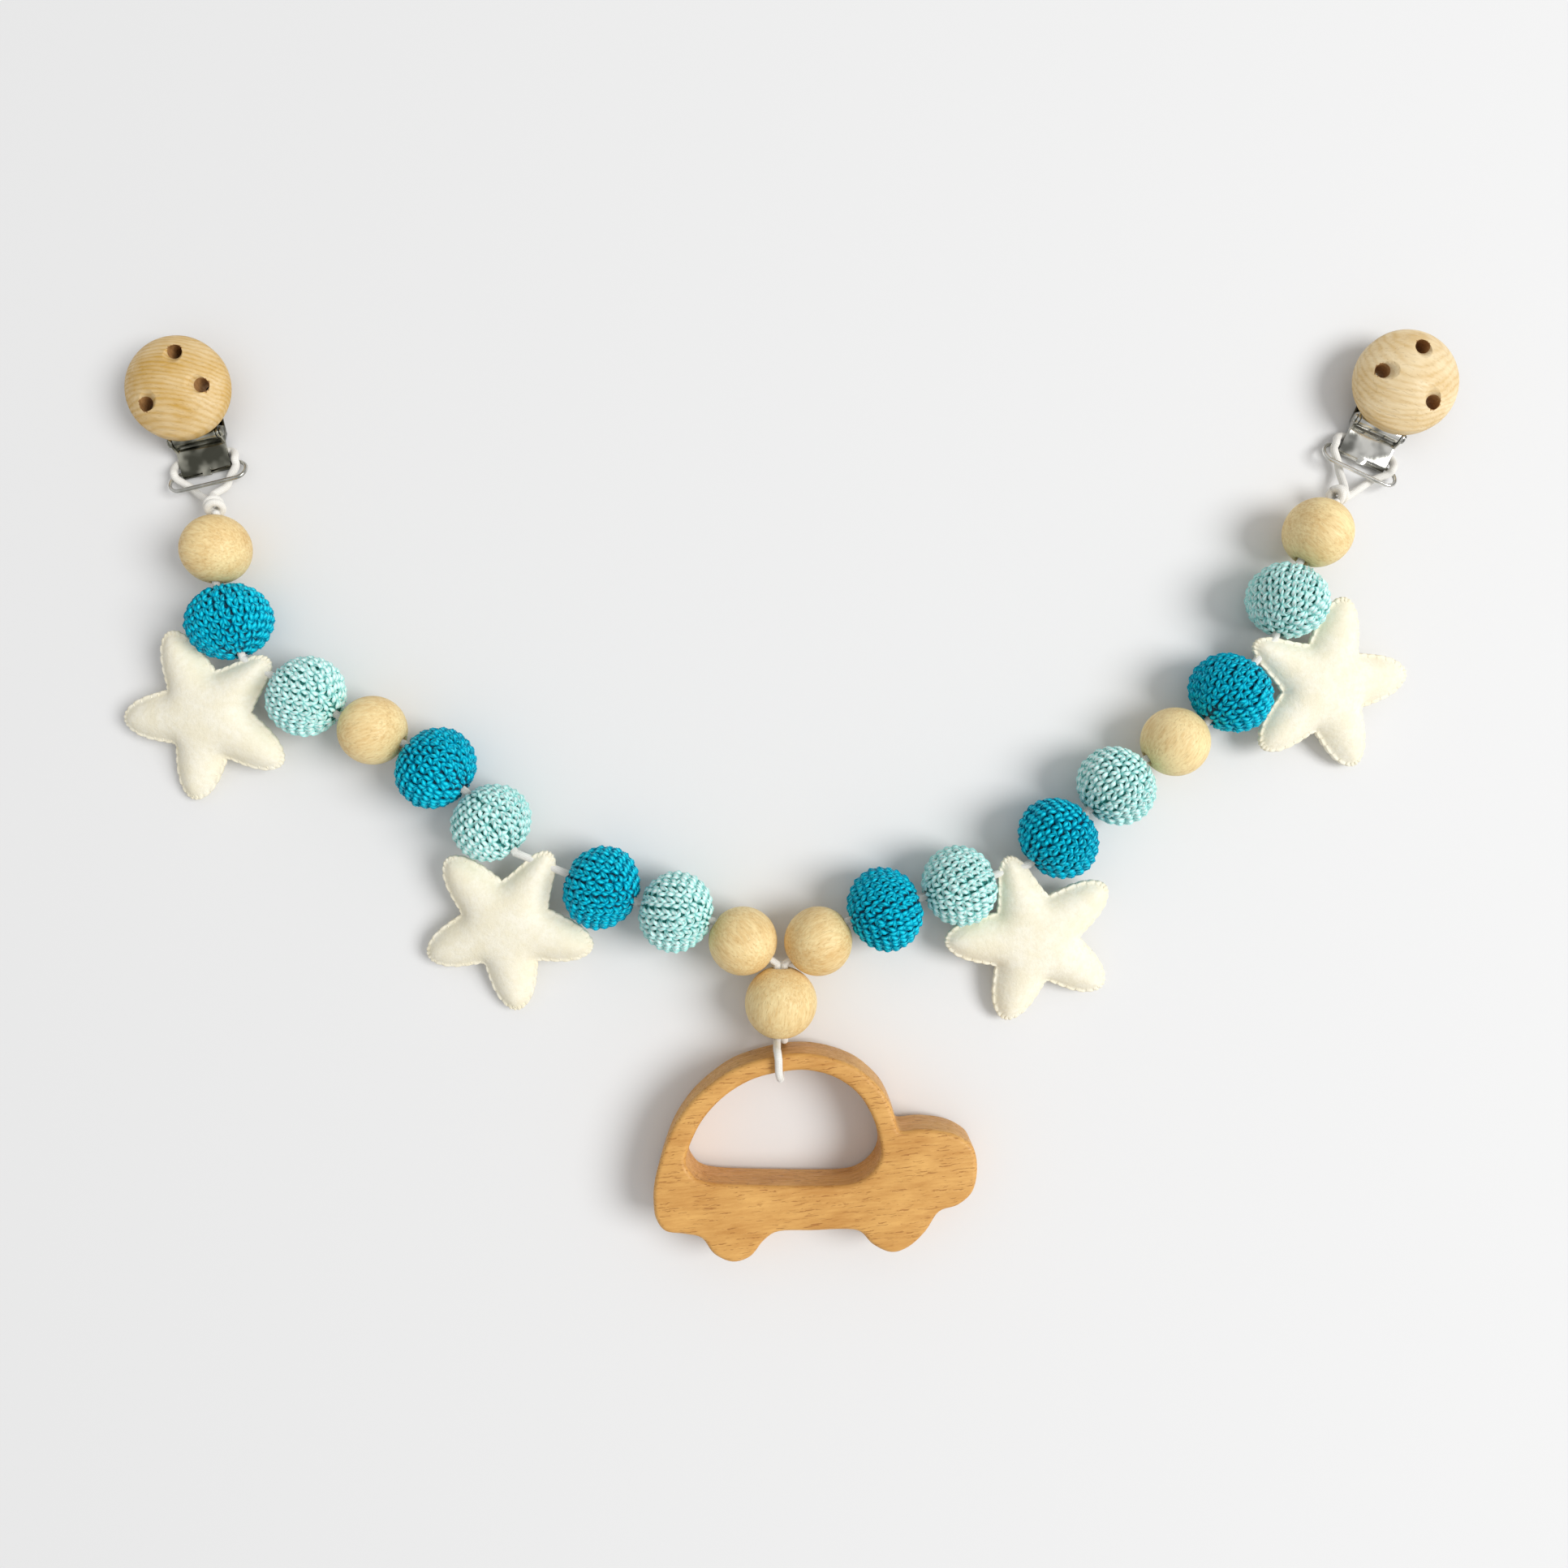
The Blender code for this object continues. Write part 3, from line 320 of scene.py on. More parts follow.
def wood(name, pale, deep, fleck, ring_pitch, ring_share, fibre_share, fibre_stretch, fleck_share, roughness):
    """Planed or turned wood: growth rings round the pith, fine fibres, and dark flecks along them."""
    paint = Paint(name)
    log = paint.node("Attribute", {"attribute_name": "grain"}, output="Vector")
    tone = paint.node("Attribute", {"attribute_name": "tone"}, output="Fac")
    wander = paint.noise(log, 0.11, 2.0, stretch=(0.35, 1, 1)) - 0.5
    across = paint.node("VectorMath", {"operation": "MULTIPLY"}, {0: log, 1: (0, 1, 1)})
    depth = paint.node("VectorMath", {"operation": "LENGTH"}, {0: across}, output="Value")
    phase = depth / ring_pitch + wander * 3.0
    ring = ((phase * math.tau).sine() * 0.5 + 0.5) ** 2.0
    waves = paint.noise(log, 0.5, 2.0, stretch=(0.8, 1, 1)) - 0.5
    log = paint.node("VectorMath", {"operation": "MULTIPLY_ADD"}, {0: waves, 1: (0.2, 0.9, 0.9), 2: log})
    fibre = paint.noise(log, 1.5, 3.0, 0.6, stretch=(fibre_stretch, 1, 1)).between(0.30, 0.70) - 0.5
    cloud = paint.noise(log, 0.16, 3.0, stretch=(0.5, 1, 1)) - 0.5
    fine = paint.noise(log, 5.0, 3.0, stretch=(fibre_stretch * 0.6, 1, 1)) - 0.5
    shade = tone + cloud * 1.2 + ring * ring_share + fibre * fibre_share + fine * fibre_share * 0.6
    flecks = paint.noise(log, 2.4, 2.0, 0.5, stretch=(fibre_stretch, 1, 1)).between(0.59, 0.69)
    colour = paint.mix(shade, pale, deep)
    colour = paint.mix(flecks * fleck_share, colour, fleck)
    relief = fibre * 0.6 + fine * 0.5 - flecks * 0.8
    return paint.surface(
        Base_Color=colour,
        Roughness=roughness + fibre * 0.25,
        Specular_IOR_Level=0.35,
        Normal=paint.bump(relief, WOOD_RELIEF),
    )


ball_wood = wood(
    "ball_wood", (0.94, 0.76, 0.40), (0.66, 0.40, 0.14), (0.42, 0.24, 0.07), 2.6, 0.05, 0.42, 0.20, 0.22, 0.55
)
# Node, size and bore, the fibres' direction, and how deep the ball's tone is
WOOD_BALLS = (
    ("centre_ball", CENTRE_BALL, (0.2, 1.0, 0.3), 0.34),
    ("left_wood_ball_1", STRUNG_BALL, (0.7, -0.7, 0.2), 0.40),
    ("left_wood_ball_2", STRUNG_BALL, (1.0, 0.3, 0.1), 0.36),
    ("left_wood_ball_3", STRUNG_BALL, (0.9, -0.2, 0.4), 0.38),
    ("right_wood_ball_1", STRUNG_BALL, (0.9, 0.4, -0.3), 0.46),
    ("right_wood_ball_2", STRUNG_BALL, (0.5, 0.8, 0.2), 0.22),
    ("right_wood_ball_3", STRUNG_BALL, (-0.8, 0.6, 0.1), 0.30),
)
for node, (diameter, bore), fibre, tone in WOOD_BALLS:
    shape = turned(bored(diameter / 2, diameter / 2, bore, BALL_SEGMENTS // 2), BALL_SEGMENTS)
    for vert in shape.verts:
        swell = math.sin(vert.co.z / diameter * 5 + tone * 40)
        swell *= math.sin(vert.co.x / diameter * 4 + tone * 90)
        vert.co += vert.co.normalized() * BALL_WOBBLE * swell
    moved(shape, along_bore(node, 360 * tone))
    place = hinge(node + "_spin")[0]
    mark_grain(shape, Vector(fibre), place + BALL_PITH * diameter * (1 + tone), tone)
    piece(node + "_wood", shape, node, [ball_wood])


# Crocheted balls. Twelve covers of shiny cotton, worked in the round over wooden balls, half blue, half mint.
# Each stitch is a V of two plump legs of three-ply yarn. A dark shell stands for the ball inside; its colour is
# painted shade for the gaps between the stitches.
COVER_LENGTH = 0.0208
COVER_BORE = 0.0036
DARK_DIAMETER = 0.0236
MINT_DIAMETER = 0.0226
ROUNDS = 11
STITCH_WIDTH = 0.0035
LEG_RADIUS = 0.00074
LEG_ARCH = 0.00078
LEG_SIDES = 6
LEG_LOBE = 0.72
LEG_STEPS = 6
LEG_TWIST = 210.0
# How far a leg's foot and head lie from the middle of its V, as shares of the stitch's width
LEG_FOOT_SHARE = 0.11
LEG_HEAD_SHARE = 0.42
# The ends of the strand that lies across a stitch's top, as shares of its width and of its round
BAR_SPREAD_SHARE = 0.50
BAR_HEIGHT_SHARES = (0.74, 1.02)
# How deep that strand lies, as a share of a leg's depth
BAR_DEPTH_SHARE = 1.7
# How far below its round a leg's foot starts, and where its head ends, as shares of the round's height
FOOT_DROP_SHARE = 0.16
HEAD_RISE_SHARES = (0.90, 1.02)
# How far a round starts past the last one, as a share of a stitch's width
ROUND_DRIFT_SHARE = 0.2
# How uneven the places of a stitch, its legs and its top are, as shares of its width, and its depth is, as
# shares of the yarn's radius
STITCH_STRAY_SHARE = 0.06
LEG_STRAY_SHARE = 0.08
BAR_STRAY_SHARE = 0.04
DEPTH_STRAY_SHARES = (0.80, 1.25)
GAP_SHADE_DEPTH = 0.0015
GAP_SHADE_SEGMENTS = 40
YARN_RELIEF = 0.00005


def sweep(shape, path, radius, sides, shares=None, closed=False, lobe=1.0, twist=0.0):
    """Draws a round section along a path. "lay" notes each point's way round the section and way along it."""
    lay = shape.verts.layers.float_vector.get("lay") or shape.verts.layers.float_vector.new("lay")
    count = len(path)
    shares = shares or [1] * count
    frames = []
    travelled = []
    facing = None
    run = 0
    for index, place in enumerate(path):
        before = path[index - 1] if index or closed else place
        after = path[(index + 1) % count] if index + 1 < count or closed else place
        ahead = (after - before).normalized()
        facing = ahead.to_track_quat("Z", "Y") if facing is None else last.rotation_difference(ahead) @ facing
        last = ahead
        run += (place - path[index - 1]).length if index else 0
        spin = Matrix.Rotation(math.radians(twist) * index / count, 4, "Z")
        size = Matrix.Scale(shares[index], 4)
        frames.append(Matrix.Translation(place) @ facing.to_matrix().to_4x4() @ spin @ size)
        travelled.append(run / MILLIMETRE)
    ring = bmesh.ops.create_circle(shape, segments=sides, radius=radius)["verts"]
    for index, vert in enumerate(ring):
        vert[lay] = (*(vert.co.xy / radius), 0)
        if index % 2:
            vert.co *= lobe
    bmesh.ops.transform(shape, matrix=frames[0], verts=ring)
    first = edges = list({edge for vert in ring for edge in vert.link_edges})
    for index in range(1, count):
        grown = bmesh.ops.extrude_edge_only(shape, edges=edges)["geom"]
        ring = [item for item in grown if isinstance(item, bmesh.types.BMVert)]
        edges = [item for item in grown if isinstance(item, bmesh.types.BMEdge)]
        bmesh.ops.transform(shape, matrix=frames[index] @ frames[index - 1].inverted(), verts=ring)
        for vert in ring:
            vert[lay] = (*vert[lay].xy, travelled[index])
    if closed:
        bmesh.ops.bridge_loops(shape, edges=first + edges)
    else:
        bmesh.ops.edgeloop_fill(shape, edges=first)
        bmesh.ops.edgeloop_fill(shape, edges=edges)


def leg_mesh():
    """One leg of a stitch: a length of twisted yarn along Z, bowed towards X, as long as a stitch is wide."""
    shape = bmesh.new()
    path = []
    shares = []
    for step in range(LEG_STEPS + 1):
        share = step / LEG_STEPS
        path.append(Vector((-LEG_ARCH * abs(2 * share - 1.1) ** 2, 0, (share - 0.5) * STITCH_WIDTH)))
        shares.append(0.62 + 0.38 * math.sin(math.pi * min(1, share * 1.15)))
    sweep(shape, path, LEG_RADIUS, LEG_SIDES, shares, lobe=LEG_LOBE, twist=LEG_TWIST)
    faced_out(shape)
    return baked(shape, "stitch_leg")


leg = leg_mesh()


def cover_mesh(diameter, seed):
    """A crocheted cover over a dark shell of painted shade, its bore along Z."""
    radius = diameter / 2
    half = COVER_LENGTH / 2
    draw = random.Random(seed)
    within = bored(radius - GAP_SHADE_DEPTH, half - GAP_SHADE_DEPTH / 2, COVER_BORE, GAP_SHADE_SEGMENTS // 2)
    shape = turned(within, GAP_SHADE_SEGMENTS)
    # The shell takes the second finish, the painted shade behind the stitches
    for face in shape.faces:
        face.material_index = 1
    shape.verts.layers.float_vector.new("lay")
    stitch = shape.verts.layers.float.new("stitch")
    start = math.asin((COVER_BORE / 2 + BORE_LIP + LEG_RADIUS / 2) / radius)
    band = (math.pi - 2 * start) / ROUNDS

    def on_cover(fall, way, depth):
        """A point under the cover's surface, and the outward direction there."""
        unit = Vector((math.sin(fall) * math.cos(way), math.sin(fall) * math.sin(way), math.cos(fall)))
        size = Vector((radius, radius, half))
        out = Vector(share / reach for share, reach in zip(unit, size)).normalized()
        return unit * size - out * depth, out

    def draw_leg(foot, head, out, tone):
        """One leg of yarn between two places."""
        run = head - foot
        upright = (out - run * (out.dot(run) / run.length_squared)).normalized()
        cross = run.cross(upright).normalized()
        place = Matrix((upright, cross, run / STITCH_WIDTH)).transposed().to_4x4()
        place.translation = (foot + head) / 2 + upright * LEG_ARCH * 0.3
        known = len(shape.verts)
        shape.from_mesh(leg)
        shape.verts.ensure_lookup_table()
        added = shape.verts[known:]
        bmesh.ops.transform(shape, matrix=place, verts=added)
        for vert in added:
            vert[stitch] = tone

    drift = 0
    for course in range(ROUNDS):
        low = start + band * course
        count = max(6, round(math.tau * radius * math.sin(low + band / 2) / STITCH_WIDTH))
        width = math.tau / count
        drift += ROUND_DRIFT_SHARE
        for number in range(count):
            way = width * (number + drift)
            way += width * draw.uniform(-STITCH_STRAY_SHARE, STITCH_STRAY_SHARE)
            tone = draw.random()
            depth = LEG_RADIUS * draw.uniform(*DEPTH_STRAY_SHARES)
            out = on_cover(low + band / 2, way, depth)[1]
            for side in (1, -1):
                stray = draw.uniform(-LEG_STRAY_SHARE, LEG_STRAY_SHARE)
                foot_way = way + width * (side * LEG_FOOT_SHARE + stray)
                foot = on_cover(low - band * FOOT_DROP_SHARE, foot_way, depth)[0]
                high = low + band * draw.uniform(*HEAD_RISE_SHARES)
                head = on_cover(high, way + width * (side * LEG_HEAD_SHARE + stray), depth)[0]
                draw_leg(foot, head, out, tone)
            spread = width * (BAR_SPREAD_SHARE + draw.uniform(-BAR_STRAY_SHARE, BAR_STRAY_SHARE))
            left, right = (
                on_cover(low + band * height, way + side * spread, depth * BAR_DEPTH_SHARE)[0]
                for side, height in zip((-1, 1), BAR_HEIGHT_SHARES)
            )
            draw_leg(left, right, out, draw.random())
    return baked(shape, "cover")


def strand_lay(paint):
    """The way round a strand's section, as an angle, and the way along it, in millimetres."""
    lay = paint.node("Attribute", {"attribute_name": "lay"}, output="Vector")
    side, rise, length = (paint.node("SeparateXYZ", {}, {"Vector": lay}, output=axis) for axis in "XYZ")
    return paint.node("Math", {"operation": "ARCTAN2"}, {0: rise, 1: side}), length


def yarn(name, shadow, body, light, gloss, roughness):
    """Mercerised cotton: shiny plies with pale glints on their crests, darker in the creases between them."""
    paint = Paint(name)
    tone = paint.node("Attribute", {"attribute_name": "stitch"}, output="Fac")
    angle, length = strand_lay(paint)
    plies = (angle * 3.0).sine() * 0.5 + 0.5
    strands = (angle * 12.0 + length * 3.1).sine() * 0.5 + 0.5
    middle = (length / (STITCH_WIDTH / MILLIMETRE) * math.pi).sine()
    place = paint.node("TexCoord", output="Object")
    fluff = paint.noise(place, 900.0, 2.0)
    patch = paint.noise(place, 260.0, 2.0)
    # Painted shade: darker in the creases between the plies and towards each leg's ends; the stitch's tone and the
    # fluff vary at random
    shade = plies * 0.32 + middle * 0.34 + tone * 0.20 + fluff * 0.25
    colour = paint.mix(shade.between(0.20, 0.80), shadow, body)
    # Painted glints: pale streaks on the plies' crests, strongest in the middle of each leg
    glint = (plies * middle + strands * 0.5 + patch * 0.4).between(0.85, 1.30)
    colour = paint.mix(glint * 0.8, colour, light)
    return paint.surface(
        Base_Color=colour,
        Roughness=roughness + fluff * 0.15,
        Specular_IOR_Level=0.6,
        Specular_Tint=(*gloss, 1),
        Normal=paint.bump(strands + fluff * 0.6, YARN_RELIEF),
    )


def gap_shade(name, colour):
    """Painted shade: a dark, clouded colour for the shell behind the stitches."""
    paint = Paint(name)
    fluff = paint.noise(paint.node("TexCoord", output="Object"), 700.0)
    return paint.surface(Base_Color=paint.mix(fluff, colour, [part / 2 for part in colour]), Roughness=0.9)


dark_yarn = yarn("dark_yarn", (0.0, 0.14, 0.26), (0.0, 0.45, 0.66), (0.03, 0.85, 1.0), (0.0, 0.8, 1.0), 0.32)
mint_yarn = yarn("mint_yarn", (0.17, 0.60, 0.57), (0.60, 1.0, 0.95), (0.97, 1.0, 1.0), (0.8, 1.0, 0.97), 0.42)
# Painted shade for the gaps between the stitches, in a deep tone of each yarn
dark_gap_shade = gap_shade("dark_gap_shade", (0.0, 0.06, 0.11))
mint_gap_shade = gap_shade("mint_gap_shade", (0.02, 0.22, 0.19))
covers = {
    "dark": (cover_mesh(DARK_DIAMETER, 3), "dark_yarn", [dark_yarn, dark_gap_shade]),
    "mint": (cover_mesh(MINT_DIAMETER, 5), "mint_yarn", [mint_yarn, mint_gap_shade]),
}
for side in ("left", "right"):
    for kind, (mesh, slot, finishes) in covers.items():
        for number in (1, 2, 3):
            node = f"{side}_{kind}_ball_{number}"
            shape = bmesh.new()
            shape.from_mesh(mesh)
            way_up = Matrix.Rotation(math.pi * (number % 2), 4, "X")
            moved(shape, along_bore(node, 77 * number) @ way_up)
            piece(node + "_crochet", shape, node, finishes, sharp=75.0)


# Felt stars. Four plump stars of two cream felt sheets, sewn together round the edge with blanket stitch
# and stuffed. Each is threaded on the cord through the tip of one arm, which the balls beside it squeeze.
STAR_REACH = 0.0248
STAR_THICKNESS = 0.0104
STAR_SEAM_THICKNESS = 0.0014
STAR_THREAD_INSET = 0.0040
STAR_CENTRE_HEIGHT = 0.0068
STAR_PUFF = 0.0040
STAR_FLANGE = 0.0009
SEAM_STITCH = 0.0023
SEAM_SCALLOP = 0.00034
SEAM_THREAD_RADIUS = 0.00014
SEAM_STITCH_DEPTH = 0.0013
STAR_ARMS = 5
# Half an arm's outline from its tip to the notch: along it and across it, as shares of the star's reach
STAR_ARM_SHARES = (
    (1.0, 0.0), (0.988, 0.052), (0.950, 0.108), (0.870, 0.176),
    (0.750, 0.232), (0.625, 0.268), (0.520, 0.290), (0.428, 0.311),
)
STAR_CURVE_STEPS = 8
# The threaded arm's width at the cord, as a share of the others', and where that squeeze ends and how long it
# is, as shares of the reach
STAR_NECK_SHARE = 0.82
STAR_NECK_END_SHARE = 1.16
STAR_NECK_LENGTH_SHARE = 1 / 1.3
# Each star's lean out of square to the cord, in degrees
STAR_LEANS = {"left_star_1": -10.0, "left_star_2": -20.0, "right_star_1": 2.0, "right_star_2": 11.0}
OUTLINE_STEP = 0.00046
STAR_RING_SHARES = (
    1.0, 0.985, 0.965, 0.94, 0.91, 0.87, 0.83, 0.78, 0.72, 0.65, 0.57, 0.48, 0.39, 0.29, 0.19, 0.09
)
# How far in the stitches pull, how much they pinch the edge, how thin it is, and how full the middle is
PULL_REACH_SHARE = 0.06
PINCH_SHARE = 0.45
EDGE_SHARE = 0.75
STUFFING_SHARE = 1.2
# A seam stitch on its way to the edge: how far in, as shares of its depth, how high, as shares of the seam
SEAM_STITCH_SHARES = ((1.0, 1.5), (0.5, 1.1))
SEAM_EDGE_SHARE = 0.4
FELT_RELIEF = 0.00022


def smooth(route, steps, closed=False):
    """Points on one smooth curve through a route's own points."""
    path = []
    if closed:
        padded = [route[-1], *route, *route[:2]]
    else:
        padded = [2 * route[0] - route[1], *route, 2 * route[-1] - route[-2]]
    for a, b, c, d in zip(padded, padded[1:], padded[2:], padded[3:]):
        for step in range(steps):
            t = step / steps
            bend = (c - a) * t + (2 * a - 5 * b + 4 * c - d) * t**2 + (3 * b - a - 3 * c + d) * t**3
            path.append(b + bend / 2)
    return path if closed else [*path, route[-1]]


def resampled(corners, step):
    """A closed outline through corners, with points an even step apart."""
    places = []
    for index, corner in enumerate(corners):
        run = corner - corners[index - 1]
        parts = max(1, round(run.length / step))
        places += [corners[index - 1] + run * (part / parts) for part in range(parts)]
    return places


def star_outline():
    """A star's outline round its centre, its threaded arm along +Y: plump arms that meet in sharp notches."""
    places = []
    for arm in range(STAR_ARMS):
        half = []
        for along, across in STAR_ARM_SHARES:
            down_neck = min(1, (STAR_NECK_END_SHARE - along) / STAR_NECK_LENGTH_SHARE)
            neck = 1 if arm else 1 - (1 - STAR_NECK_SHARE) * math.sin(math.pi * down_neck)
            half.append(Vector((along, across * neck)) * STAR_REACH)
        half = smooth(half, STAR_CURVE_STEPS)
        sides = [Vector((place.x, -place.y)) for place in reversed(half)] + half[1:-1]
        turned_by = Matrix.Rotation(math.radians(90 + 360 / STAR_ARMS * arm), 2)
        places += [turned_by @ place for place in sides]
    return resampled(places, OUTLINE_STEP)


def joined(shape, rings):
    """Extrudes a closed ring of points to the next ones. Returns the first and the last ring's edges."""
    verts = [shape.verts.new(place) for place in rings[0]]
    first = edges = [shape.edges.new((verts[index - 1], vert)) for index, vert in enumerate(verts)]
    for places in rings[1:]:
        order = {tuple(vert.co): index for index, vert in enumerate(verts)}
        grown = bmesh.ops.extrude_edge_only(shape, edges=edges)["geom"]
        edges = [item for item in grown if isinstance(item, bmesh.types.BMEdge)]
        added = [item for item in grown if isinstance(item, bmesh.types.BMVert)]
        verts = sorted(added, key=lambda vert: order[tuple(vert.co)])
        for vert, place in zip(verts, places):
            vert.co = place
    return first, edges


def star_shape():
    """The stuffed star lying level round its centre. It swells with the distance from the seam."""
    outline = star_outline()
    stitches = round(sum((a - b).length for a, b in zip(outline, outline[1:] + outline[:1])) / SEAM_STITCH)
    fine = OUTLINE_STEP / 4
    rim = np.array(resampled(outline, fine))
    seam = STAR_SEAM_THICKNESS / 2
    rings = []
    for share in STAR_RING_SHARES:
        ring = []
        for index, place in enumerate(outline):
            pull = (0.5 + 0.5 * math.cos(math.tau * stitches * index / len(outline))) ** 3
            near = max(0, 1 - (1 - share) / PULL_REACH_SHARE)
            flat = place * share - place.normalized() * SEAM_SCALLOP * pull * near
            gap = np.linalg.norm(rim - np.array(place * share), axis=1)
            inside = 0 if share == 1 else (float(np.sum(fine / gap**3)) / 2) ** -0.5
            puff = 1 - math.exp(-max(0, inside - STAR_FLANGE) / STAR_PUFF)
            edge = seam * (1 - PINCH_SHARE * pull * near) * (EDGE_SHARE if share == 1 else 1)
            ring.append(Vector((*flat, edge + (STAR_THICKNESS / 2 - seam) * puff * STUFFING_SHARE)))
        rings.append(ring)
    back = [[Vector((*place.xy, -place.z)) for place in ring] for ring in reversed(rings)]
    shape = bmesh.new()
    for edges in joined(shape, back + rings):
        middle = bmesh.ops.edgeloop_fill(shape, edges=edges)["faces"]
        bmesh.ops.poke(shape, faces=middle)
    faced_out(shape)
    for number in range(stitches):
        index = round(number * len(outline) / stitches)
        place, after = (outline[turn % len(outline)] for turn in (index, index + 1))
        inward = Vector((place.y - after.y, after.x - place.x)).normalized()
        edge = place - place.normalized() * SEAM_SCALLOP * 0.8
        reach = inward * SEAM_STITCH_DEPTH
        half = [(*(edge + reach * deep), seam * high) for deep, high in SEAM_STITCH_SHARES]
        half.append((*(edge - inward * SEAM_THREAD_RADIUS / 2), seam * SEAM_EDGE_SHARE))
        path = [Vector(spot) for spot in half] + [Vector((x, y, -z)) for x, y, z in reversed(half)]
        sweep(shape, path, SEAM_THREAD_RADIUS, 4)
    return shape


def felt():
    """Thick wool felt: cream, slightly clouded, matted fibres."""
    paint = Paint("felt")
    place = paint.node("TexCoord", output="Object")
    cloud = paint.noise(place, 160.0, 4.0)
    mat = paint.noise(place, 1500.0, 4.0, 0.7)
    fibres = paint.noise(place, 620.0, 5.0, 0.75)
    colour = paint.mix(cloud.between(0.35, 0.7), (0.95, 0.90, 0.74), (0.90, 0.83, 0.62))
    colour = paint.mix(fibres.between(0.40, 0.66) * 0.55, colour, (0.84, 0.76, 0.54))
    colour = paint.mix(mat * 0.35, colour, (1.0, 0.98, 0.90))
    return paint.surface(
        Base_Color=colour,
        Roughness=0.92,
        Specular_IOR_Level=0.08,
        Normal=paint.bump(mat * 0.4 + fibres, FELT_RELIEF),
    )


felt_finish = felt()
star_mesh = baked(star_shape(), "star")
for node, lean in STAR_LEANS.items():
    place, axis = hinge(node + "_swing")
    across = axis if axis.x > 0 else -axis
    thread = STAR_REACH - STAR_THREAD_INSET
    fall = place.z - STAR_CENTRE_HEIGHT
    tilt = math.asin(fall / (thread * math.cos(math.radians(lean))))
    hold = squared(place, across, UPWARD) @ Matrix.Rotation(tilt, 4, "X")
    hold = hold @ Matrix.Rotation(math.radians(lean), 4, "Z") @ Matrix.Translation((0, -thread, 0))
    shape = bmesh.new()
    shape.from_mesh(star_mesh)
    moved(shape, hold)
    star = piece(node + "_felt", shape, node, [felt_finish], sharp=80.0)


# Flat wooden car. Sawn from a 15 mm beech board with its window and sanded round at the edges. The cord's
# middle loop goes round its roof.
CAR_LENGTH = 0.0871
CAR_HEIGHT = 0.0563
CAR_THICKNESS = 0.0150
CAR_EDGE_RADIUS = 0.0014
CAR_TURN = 3.3
# The fibres' direction in the board, and where the log's pith lay from the car's place on the cord
CAR_FIBRES = Vector((1, 0.07, 0.03))
CAR_PITH_DEPTH = 0.06
CAR_PITH = Vector((0, -0.03, 0))
CAR_TONE = 0.40
# Places from the roof bar along the silhouette and along the window, as shares of the length and the height
CAR_OUTLINE_SHARES = (
    (-0.416, -0.680), (-0.388, -0.746), (-0.326, -0.766), (-0.276, -0.792), (-0.241, -0.872),
    (-0.185, -0.916), (-0.128, -0.894), (-0.084, -0.820), (-0.034, -0.779), (0.067, -0.784),
    (0.169, -0.787), (0.219, -0.805), (0.255, -0.869), (0.312, -0.914), (0.368, -0.891),
    (0.422, -0.820), (0.467, -0.728), (0.527, -0.700), (0.575, -0.637), (0.593, -0.531),
    (0.586, -0.430), (0.556, -0.378), (0.505, -0.339), (0.430, -0.318), (0.368, -0.322),
    (0.353, -0.304), (0.346, -0.254), (0.328, -0.171), (0.304, -0.104), (0.255, -0.024),
    (0.204, 0.026), (0.130, 0.068), (0.050, 0.085), (-0.040, 0.072), (-0.147, 0.028),
    (-0.226, -0.044), (-0.284, -0.118), (-0.326, -0.195), (-0.358, -0.273), (-0.391, -0.393),
    (-0.414, -0.510), (-0.420, -0.600),
)
CAR_WINDOW_SHARES = (
    (-0.311, -0.405), (-0.301, -0.458), (-0.277, -0.500), (-0.227, -0.524), (-0.127, -0.541),
    (0.075, -0.564), (0.182, -0.568), (0.232, -0.548), (0.268, -0.507), (0.289, -0.459),
    (0.296, -0.400), (0.282, -0.272), (0.242, -0.142), (0.175, -0.050), (0.096, -0.004),
    (0.020, 0.001), (-0.082, -0.026), (-0.172, -0.096), (-0.245, -0.200), (-0.290, -0.312),
)
CAR_CURVE_STEPS = 5
CAR_EDGE_STEPS = 5


def car_curve(shares):
    """A smooth closed outline in the car's plane, from shares of its length and height."""
    return smooth([Vector((x * CAR_LENGTH, y * CAR_HEIGHT)) for x, y in shares], CAR_CURVE_STEPS, closed=True)


def inset(outline, distance):
    """An anticlockwise outline moved in by a distance, with mitred corners."""
    inner = []
    count = len(outline)
    for index, place in enumerate(outline):
        a = (place - outline[index - 1]).normalized()
        b = (outline[(index + 1) % count] - place).normalized()
        inner.append(place + Vector((-a.y - b.y, a.x + b.x)) * (distance / (1 + a.dot(b))))
    return inner


def board(outlines, thickness, edge, steps):
    """A board from an anticlockwise outline and clockwise openings, its edges rounded in steps."""
    levels = []
    for step in range(steps + 1):
        angle = math.pi / 2 * step / steps
        levels.append((edge * (1 - math.sin(angle)), edge * (1 - math.cos(angle))))
    levels += [(setback, thickness - height) for setback, height in reversed(levels)]
    shape = bmesh.new()
    loops = []
    for outline in outlines:
        rings = [[(*place, height) for place in inset(outline, setback)] for setback, height in levels]
        loops.append(joined(shape, rings))
    for ends in zip(*loops):
        bmesh.ops.triangle_fill(shape, use_beauty=True, edges=[edge for end in ends for edge in end])
    faced_out(shape)
    return shape


